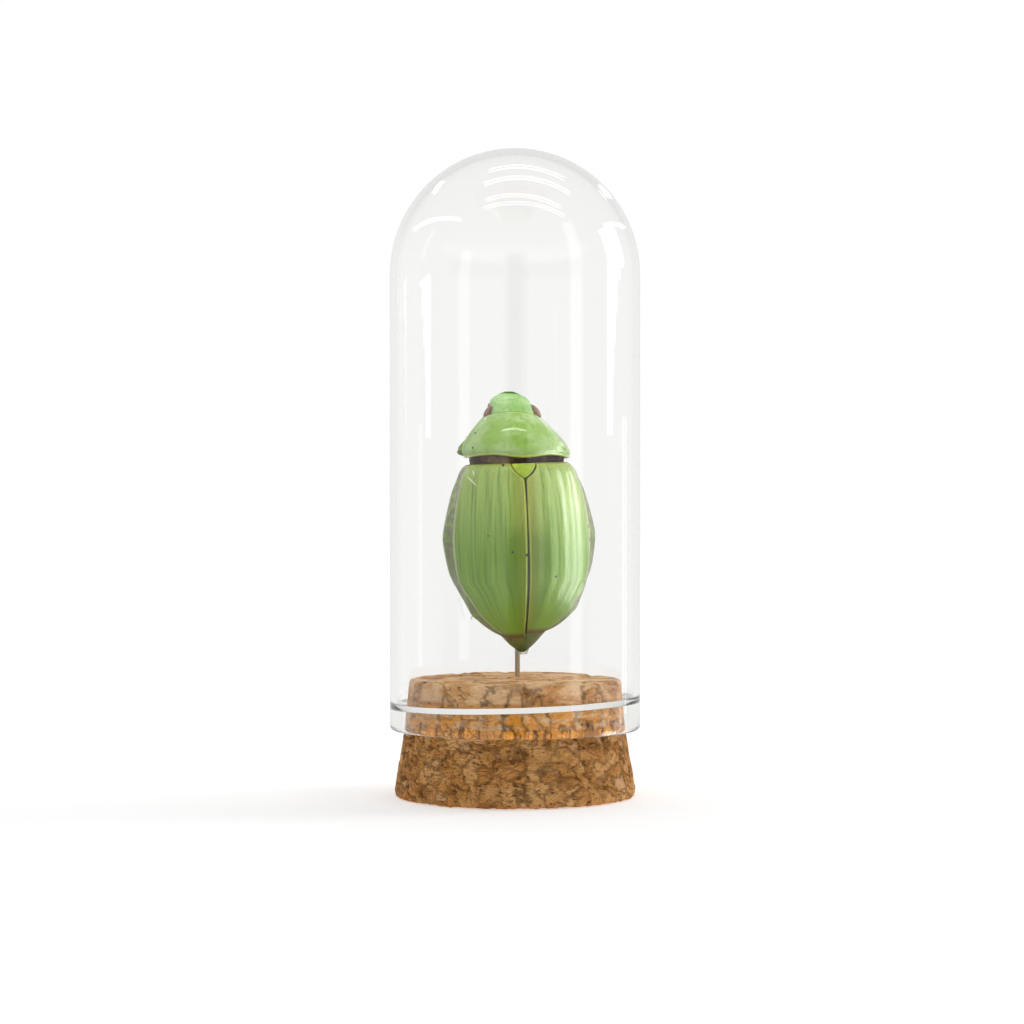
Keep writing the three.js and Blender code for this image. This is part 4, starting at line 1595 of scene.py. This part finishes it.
@dataclass
class Legs:
    """Six legs folded under the body."""

    pose: Pose
    thickness: dict[LegPair, tuple[float, float, float]] = field(
        default_factory=lambda: {
            LegPair.FRONT: (0.75, 0.5, 0.22),
            LegPair.MIDDLE: (0.8, 0.5, 0.22),
            LegPair.HIND: (0.9, 0.55, 0.24),
        }
    )
    joints: dict[LegPair, Joints] = field(
        default_factory=lambda: {
            LegPair.FRONT: {
                "hip": (1.5, 3.7, 2), "knee": (5.85, 2.75, 1.55),
                "ankle": (2.6, 4.2, 4.9), "claw": (1.3, 4.3, 1.9),
            },
            LegPair.MIDDLE: {
                "hip": (1.6, 4.45, -3.2), "knee": (7, 3.3, -5.5),
                "ankle": (4.2, 5.6, -10.2), "claw": (3.2, 5.9, -14.2),
            },
            LegPair.HIND: {
                "hip": (2.5, 4.45, -8.2), "knee": (6.7, 3.4, -12.2),
                "ankle": (4.6, 4.3, -16.2), "claw": (3.2, 4.8, -19.6),
            },
        }
    )
    left_joints: dict[LegPair, Joints] = field(
        default_factory=lambda: {
            LegPair.FRONT: {"knee": (7.0, 2.45, 1.4)},
            LegPair.MIDDLE: {},
            LegPair.HIND: {"ankle": (4.9, 4.3, -15.6), "claw": (5.35, 3.4, -18.25)},
        }
    )
    shin_finish: Cuticle = Cuticle(
        name="leg_green_cuticle",
        base="#6d9548",
        pale="#9cb95f",
        deep="#6a4a26",
    )
    foot_finish: Cuticle = Cuticle(
        name="leg_red_brown_cuticle",
        base="#5e2a1b",
        pale="#86452c",
        deep="#2c110a",
        pit_size=0.12,
    )

    def points(
        self, pair: LegPair, side: Side, start: str, end: str, gap: float, lift: float
    ) -> list[Vector]:
        """Three points of a limb's path between two joints.

        Args:
            pair: Which pair of legs.
            side: Left or right.
            start: Joint at its upper end.
            end: Joint at its lower end.
            gap: How far it starts past the joint.
            lift: How far its upper end lies below the limb before it.

        Returns:
            Start, middle and end in millimetres.
        """
        own = {**self.joints[pair], **(self.left_joints[pair] if side is Side.LEFT else {})}
        low, high = (Vector((side.value * x, y, z)) for x, y, z in (own[start], own[end]))
        low.y += lift
        along = (high - low).normalized()
        first, last = low + along * gap, high - along * 0.1
        return [first, (first + last) / 2 + Vector((side.value * 0.12, 0, 0)), last]

    @staticmethod
    def round_end(t: float) -> float:
        """Share of a limb's radius, which falls off at both ends."""
        return max(0.02, 1 - abs(2 * t - 1) ** 7) ** 0.5

    def build_leg(self, pair: LegPair, side: Side) -> list[bpy.types.Object]:
        """Build thigh, shin and foot of one leg."""
        place = self.pose.fore if pair is LegPair.FRONT else self.pose.hind
        thigh, shin, foot = self.thickness[pair]
        stem = f"{pair.value}_{side.word}"

        swell = SmoothCurve((0, thigh * 0.8), (0.45, thigh), (1, thigh * 0.62))
        path = self.points(pair, side, "hip", "knee", 0.1, 0)
        rings = limb_rings(path, lambda t: swell(t) * self.round_end(t), 34, 28)
        femur = skin(f"{stem}_femur_smooth", rings, place)
        dress(femur, self.shin_finish, f"{stem}_femur", crisp=60)

        swell = SmoothCurve((0, shin * 0.7), (0.5, shin * 0.85), (0.85, shin), (1, shin * 0.9))
        path = self.points(pair, side, "knee", "ankle", 0.45, 0.5)
        rings = limb_rings(path, lambda t: swell(t) * self.round_end(t), 34, 24)
        parts = [skin("shin", rings, place)]
        along = (path[2] - path[0]).normalized()
        out = Vector((side.value, 0.25, 0)).normalized()
        for t in (0.45, 0.65, 0.85):
            at = path[0].lerp(path[2], t) + Vector((side.value * 0.1, 0, 0))
            tip = at + out * (shin + 0.4) + along * 0.25
            parts.append(spike("tooth", at + out * shin * 0.5, tip, 0.2, place))
        for turn in (-0.2, 0.2):
            aside = Vector((turn, 0, 0))
            base = path[2] + aside
            parts.append(spike("spur", base, base + along * 0.9 + aside, 0.1, place))
        tibia = joined(f"{stem}_tibia_toothed", parts)
        dress(tibia, self.shin_finish, f"{stem}_tibia", crisp=60)

        path = self.points(pair, side, "ankle", "claw", 0.05, 0)

        def joints(t: float) -> float:
            """Radius of the foot, whose five joints widen towards the claws."""
            return foot * (0.55 + 0.5 * ((5 * t) % 1.0) ** 0.7 if t < 0.99 else 0.5)

        parts = [skin("foot", limb_rings(path, joints, 60, 14), place)]
        along = (path[2] - path[0]).normalized()
        for turn in (-0.28, 0.28):
            tip = path[2] + along * 0.55 + Vector((turn, -0.25, 0))
            parts.append(spike("claw", path[2] - along * 0.1, tip, 0.09, place, 0.12))
        tarsus = joined(f"{stem}_tarsus_jointed", parts)
        dress(tarsus, self.foot_finish, f"{stem}_tarsus", crisp=50)
        return [femur, tibia, tarsus]

    def build(self) -> list[bpy.types.Object]:
        """Build all six legs."""
        return [part for pair in LegPair for side in Side for part in self.build_leg(pair, side)]


# The studio -------------------------------------------------------------------------------------


@dataclass(frozen=True)
class SoftBox:
    """One upright rectangular light that faces the object.

    Azimuth is 0 at the camera and grows to the viewer's right; heights and distance are in metres.
    """

    name: str
    azimuths: tuple[float, float]
    heights: tuple[float, float]
    radiance: float
    distance: float = 1.0
    lights_floor: bool = True

    def build(self) -> bpy.types.Object:
        """Add the light; its power gives the same brightness whatever its size."""
        low, high = (math.radians(a) for a in self.azimuths)
        size = (2 * self.distance * math.tan((high - low) / 2), self.heights[1] - self.heights[0])
        turn = (low + high) / 2
        away = Vector((math.sin(turn), -math.cos(turn), 0))
        place = away * self.distance + Vector((0, 0, sum(self.heights) / 2))
        lamp = rectangle_light(self.name, size, place, away, self.radiance)
        lamp.visible_diffuse = self.lights_floor
        return lamp


@dataclass(frozen=True)
class BellFill:
    """Upright light inside the bell, unseen itself; its gloss on the wing case is seen.

    Azimuth is 0 at the camera and grows to the viewer's right; sizes are in millimetres.
    """

    name: str
    azimuth: float
    size: tuple[float, float]
    height: float
    radiance: float
    reach: float = 13.7

    def build(self) -> bpy.types.Object:
        """Add the light close inside the glass."""
        size = [side * MM for side in self.size]
        turn = math.radians(self.azimuth)
        away = Vector((math.sin(turn), -math.cos(turn), 0))
        middle = math.hypot(self.reach, self.size[0] / 2)
        place = away * (self.reach**2 / middle) + Vector((0, 0, self.height))
        lamp = rectangle_light(self.name, size, place * MM, away, self.radiance)
        lamp.visible_transmission = lamp.visible_diffuse = False
        return lamp


@dataclass(frozen=True)
class CrownLight:
    """Small light under the crown of the bell; only its gloss on the neck shield is seen."""

    name: str
    place: tuple[float, float, float] = (1.0, -9.0, 62.0)
    target: tuple[float, float, float] = (0.5, -4.5, 43.5)
    size: tuple[float, float] = (16.0, 1.2)
    radiance: float = 12.0

    def build(self) -> bpy.types.Object:
        """Add the light; sizes are in millimetres."""
        away = Vector(self.place) - Vector(self.target)
        size = [side * MM for side in self.size]
        lamp = rectangle_light(self.name, size, Vector(self.place) * MM, away, self.radiance)
        lamp.visible_transmission = lamp.visible_diffuse = False
        return lamp


@dataclass(frozen=True)
class OverheadBar:
    """One long light 1 m above the object that shines straight down; its line is in metres."""

    name: str
    start: tuple[float, float]
    end: tuple[float, float]
    width: float
    radiance: float
    height: float = 1.07

    def build(self) -> bpy.types.Object:
        """Add the light along its line."""
        start, end = Vector((*self.start, self.height)), Vector((*self.end, self.height))
        size = ((end - start).length, self.width)
        lamp = rectangle_light(
            self.name, size, (start + end) / 2, Vector((0, 0, 1)), self.radiance
        )
        lamp.rotation_quaternion = Vector((1, 0, 0)).rotation_difference(end - start)
        return lamp


def rectangle_light(
    name: str, size: Sequence[float], place: Vector, away: Vector, radiance: float
) -> bpy.types.Object:
    """Add a rectangular light of a given brightness that shines against a direction.

    Args:
        name: Name of the light.
        size: Width and height in metres.
        place: Its centre.
        away: Direction from the lit object to the light.
        radiance: Brightness of its surface.

    Returns:
        The light, hidden from direct view.
    """
    light = bpy.data.lights.new(name, "AREA")
    light.shape = "RECTANGLE"
    light.size, light.size_y = size
    light.energy = radiance * math.pi * size[0] * size[1]
    lamp = bpy.data.objects.new(name, light)
    lamp.location = place
    lamp.rotation_mode = "QUATERNION"
    lamp.rotation_quaternion = away.to_track_quat("Z", "Y")
    lamp.visible_camera = False
    bpy.context.collection.objects.link(lamp)
    return lamp


@dataclass
class Studio:
    """Camera, white sweep and soft light."""

    camera_place: tuple[float, float, float] = (-0.36, -285.0, 34.0)
    lens: float = 83.5
    wall: float = 1.01
    mirrored_wall: tuple[float, float] = (0.91, 0.8)
    wall_from: float = -0.3
    wall_to: float = 0.8
    room: float = 0.6
    ceiling: float = 0.2
    bell_light: tuple[float, float] = (0.6, 1.7)
    bell_sides: tuple[float, float] = (0.92, 1.5)
    gloss: list[bpy.types.Object] = field(default_factory=list)

    def build_camera(self) -> None:
        """Level camera in front of the beetle's back."""
        camera = bpy.data.cameras.new("camera")
        camera.lens = self.lens
        camera.sensor_width = 36
        camera.clip_start, camera.clip_end = 0.01, 50
        holder = bpy.data.objects.new("camera", camera)
        holder.location = Vector(self.camera_place) * MM
        holder.rotation_euler = (math.radians(90), 0, 0)
        bpy.context.collection.objects.link(holder)
        bpy.context.scene.camera = holder

    def build_floor(self) -> None:
        """White sheet under the cork; the glass doesn't mirror it, so the beetle stays clear."""
        deselect()
        bpy.ops.mesh.primitive_plane_add(size=8)
        sheet = bpy.context.object
        sheet.name = "floor"
        sheet.visible_glossy = sheet.visible_transmission = False
        sheet.data.materials.append(LitAcrylic().make())

    def build_world(self) -> None:
        """White surroundings; the glass mirrors a room that darkens towards the camera.

        Light that goes straight on, also through glass, comes from the plain wall. Light that
        reaches the specimen through the bell is stronger than that in the room.
        """
        world = bpy.data.worlds.new("studio")
        bpy.context.scene.world = world
        world.use_nodes = True
        tree = world.node_tree
        tree.nodes.clear()

        ray = add_node(tree, "ShaderNodeTexCoord").outputs["Generated"]
        x, y, z = add_node(tree, "ShaderNodeSeparateXYZ", {0: ray}).outputs
        # Just below the horizon the room is dark in front; it is light behind and steeply below.
        ground = fade(tree, (z, -0.1, 0.02, 0.3, 1.0))
        for lighter in (fade(tree, (y, -0.5, -0.2)), fade(tree, (z, -0.2, -0.35, 0.0, 1.6))):
            both = {0: ground, 1: lighter}
            ground = add_node(tree, "ShaderNodeMath", both, operation="MAXIMUM").outputs[0]
        dim = fade(tree, (z, 0.2, 0.5, self.room, self.ceiling), by=ground)
        mirrored = fade(tree, (z, 0.1, 0.5, *self.mirrored_wall))
        level = fade(tree, (y, self.wall_from, self.wall_to, dim, mirrored))
        forward = add_node(tree, "ShaderNodeMath", {0: y, 1: -1.0}, operation="MULTIPLY")
        sides = {0: x, 1: forward.outputs[0]}
        azimuth = add_node(tree, "ShaderNodeMath", sides, operation="ARCTAN2").outputs[0]
        # A darker gap in front: the mirrored room has no light behind the camera.
        left = (azimuth, math.radians(-8), math.radians(-4))
        right = (azimuth, math.radians(13), math.radians(9))
        gap = fade(tree, left, right, (z, 0.3, 0.2), (z, -0.5, -0.3))
        level = fade(tree, (gap, 0, 1, 1, 0.15), by=level)
        bell_light = fade(tree, (z, -0.6, 0.7, *self.bell_light), (x, -0.8, 0.9, *self.bell_sides))

        # The ray depth of the surroundings counts one step more than the ray has taken.
        path = add_node(tree, "ShaderNodeLightPath").outputs
        found = {output.name: output for output in path}
        for name, operation, first, second in (
            ("steps", "SUBTRACT", "Ray Depth", 1.0),
            ("bounced", "SUBTRACT", "steps", "Transmission Depth"),
            ("scattered", "SUBTRACT", "bounced", "Glossy Depth"),
            ("both", "MULTIPLY", "scattered", "Transmission Depth"),
            ("inside", "GREATER_THAN", "both", 2.5),
            ("unturned", "LESS_THAN", "bounced", 0.5),
            ("looked", "ADD", "Transmission Depth", "Is Camera Ray"),
            ("seen", "GREATER_THAN", "looked", 0.5),
            ("straight", "MULTIPLY", "unturned", "seen"),
        ):
            values = {0: found[first], 1: found.get(second, second)}
            found[name] = add_node(tree, "ShaderNodeMath", values, operation=operation).outputs[0]
        level = fade(tree, (found["inside"], 0, 1, level, bell_light))
        level = fade(tree, (found["straight"], 0, 1, level, self.wall))
        back = add_node(tree, "ShaderNodeBackground", {"Color": (1, 1, 1, 1), "Strength": level})
        add_node(tree, "ShaderNodeOutputWorld", {"Surface": back.outputs[0]})

    def build_lights(self) -> None:
        """Tall soft boxes at the right, bars overhead and gloss lights inside the bell."""
        # The lower end of the right edge light widens upwards in seven steps.
        step = 1 / 60
        wedge = [
            SoftBox(
                f"edge_right_{i}",
                (96, 99.5 + 0.45 * i * i),
                (0.075 + i * step, 0.0917 + i * step),
                5.5,
            )
            for i in range(7)
        ]
        self.gloss = [
            CrownLight("gloss_top").build(),
            BellFill("gloss_right", 78, (6.5, 24), 30, 4.4).build(),
            BellFill("gloss_middle", 58, (8, 22), 31, 1.15).build(),
        ]
        for light in (
            *wedge,
            SoftBox("edge_right", (96, 118), (0.191, 0.6), 5.5),
            SoftBox("key_right", (49, 61), (0.0, 0.165), 0.95, 0.13, False),
            SoftBox("strip_right", (114, 117), (0.0, 0.05), 1.5, 0.13, False),
            OverheadBar("bar_back", (-0.25, 0.36), (0.49, 0.42), 0.045, 3.5),
            OverheadBar("bar_middle", (-0.35, 0.03), (0.68, 0.12), 0.045, 3.5),
            OverheadBar("bar_front", (-0.41, -0.34), (0.7, -0.34), 0.045, 3.5),
            OverheadBar("bar_camera", (-0.5, -0.53), (0.9, -0.5), 0.045, 3.5),
            OverheadBar("bar_left", (-2.0, 1.3), (-1.05, -0.5), 0.08, 4.0),
            OverheadBar("bar_right", (1.7, 0.6), (1.8, 2.4), 0.1, 4.0),
            OverheadBar("lamp_left", (-0.9, 1.0), (-0.7, 1.2), 0.12, 3.0),
            OverheadBar("lamp_right", (0.8, 2.1), (0.9, 2.6), 0.15, 3.0),
        ):
            light.build()

    def keep_gloss_to(self, pieces: Iterable[bpy.types.Object]) -> None:
        """Let the lights inside the bell shine on some pieces alone; the glass stays clear.

        Args:
            pieces: The pieces that they light.
        """
        lit = bpy.data.collections.new("glossy_back")
        for piece in pieces:
            lit.objects.link(piece)
        for lamp in self.gloss:
            lamp.light_linking.receiver_collection = lit

    def build(self) -> None:
        """Set up camera, floor, surroundings and lights."""
        self.build_camera()
        self.build_floor()
        self.build_world()
        self.build_lights()
        scene = bpy.context.scene
        scene.view_settings.view_transform = "Standard"
        scene.cycles.max_bounces = 24
        scene.cycles.transmission_bounces = 20
        scene.cycles.glossy_bounces = 8
        scene.cycles.diffuse_bounces = 5
        scene.cycles.sample_clamp_indirect = 8.0


def main() -> None:
    """Build the studio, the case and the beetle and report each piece."""
    logging.basicConfig(level=logging.INFO, format="%(name)s %(message)s")
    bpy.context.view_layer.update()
    studio = Studio()
    studio.build()
    pieces = [GlassBell().build(), CorkStopper().build(), Pin().build(), GlueBead().build()]

    pose = Pose()
    wings = WingCases(pose)
    fore = ForeBody(pose)
    glossy = [fore.build_shield(), *[wings.build(side) for side in Side]]
    studio.keep_gloss_to(glossy)
    pieces += [*glossy, fore.build_head()]
    for side in Side:
        pieces += [fore.build_eye(side), fore.build_antenna(side)]
    hind = HindBody(pose, wings)
    pieces += [*hind.build_trunk(), hind.build_band(), hind.build_scutellum(), hind.build_tail()]
    pieces += Legs(pose).build()
    for piece in pieces:
        log.info("%s: %d faces", piece.name, len(piece.data.polygons))


if __name__ == "__main__":
    main()
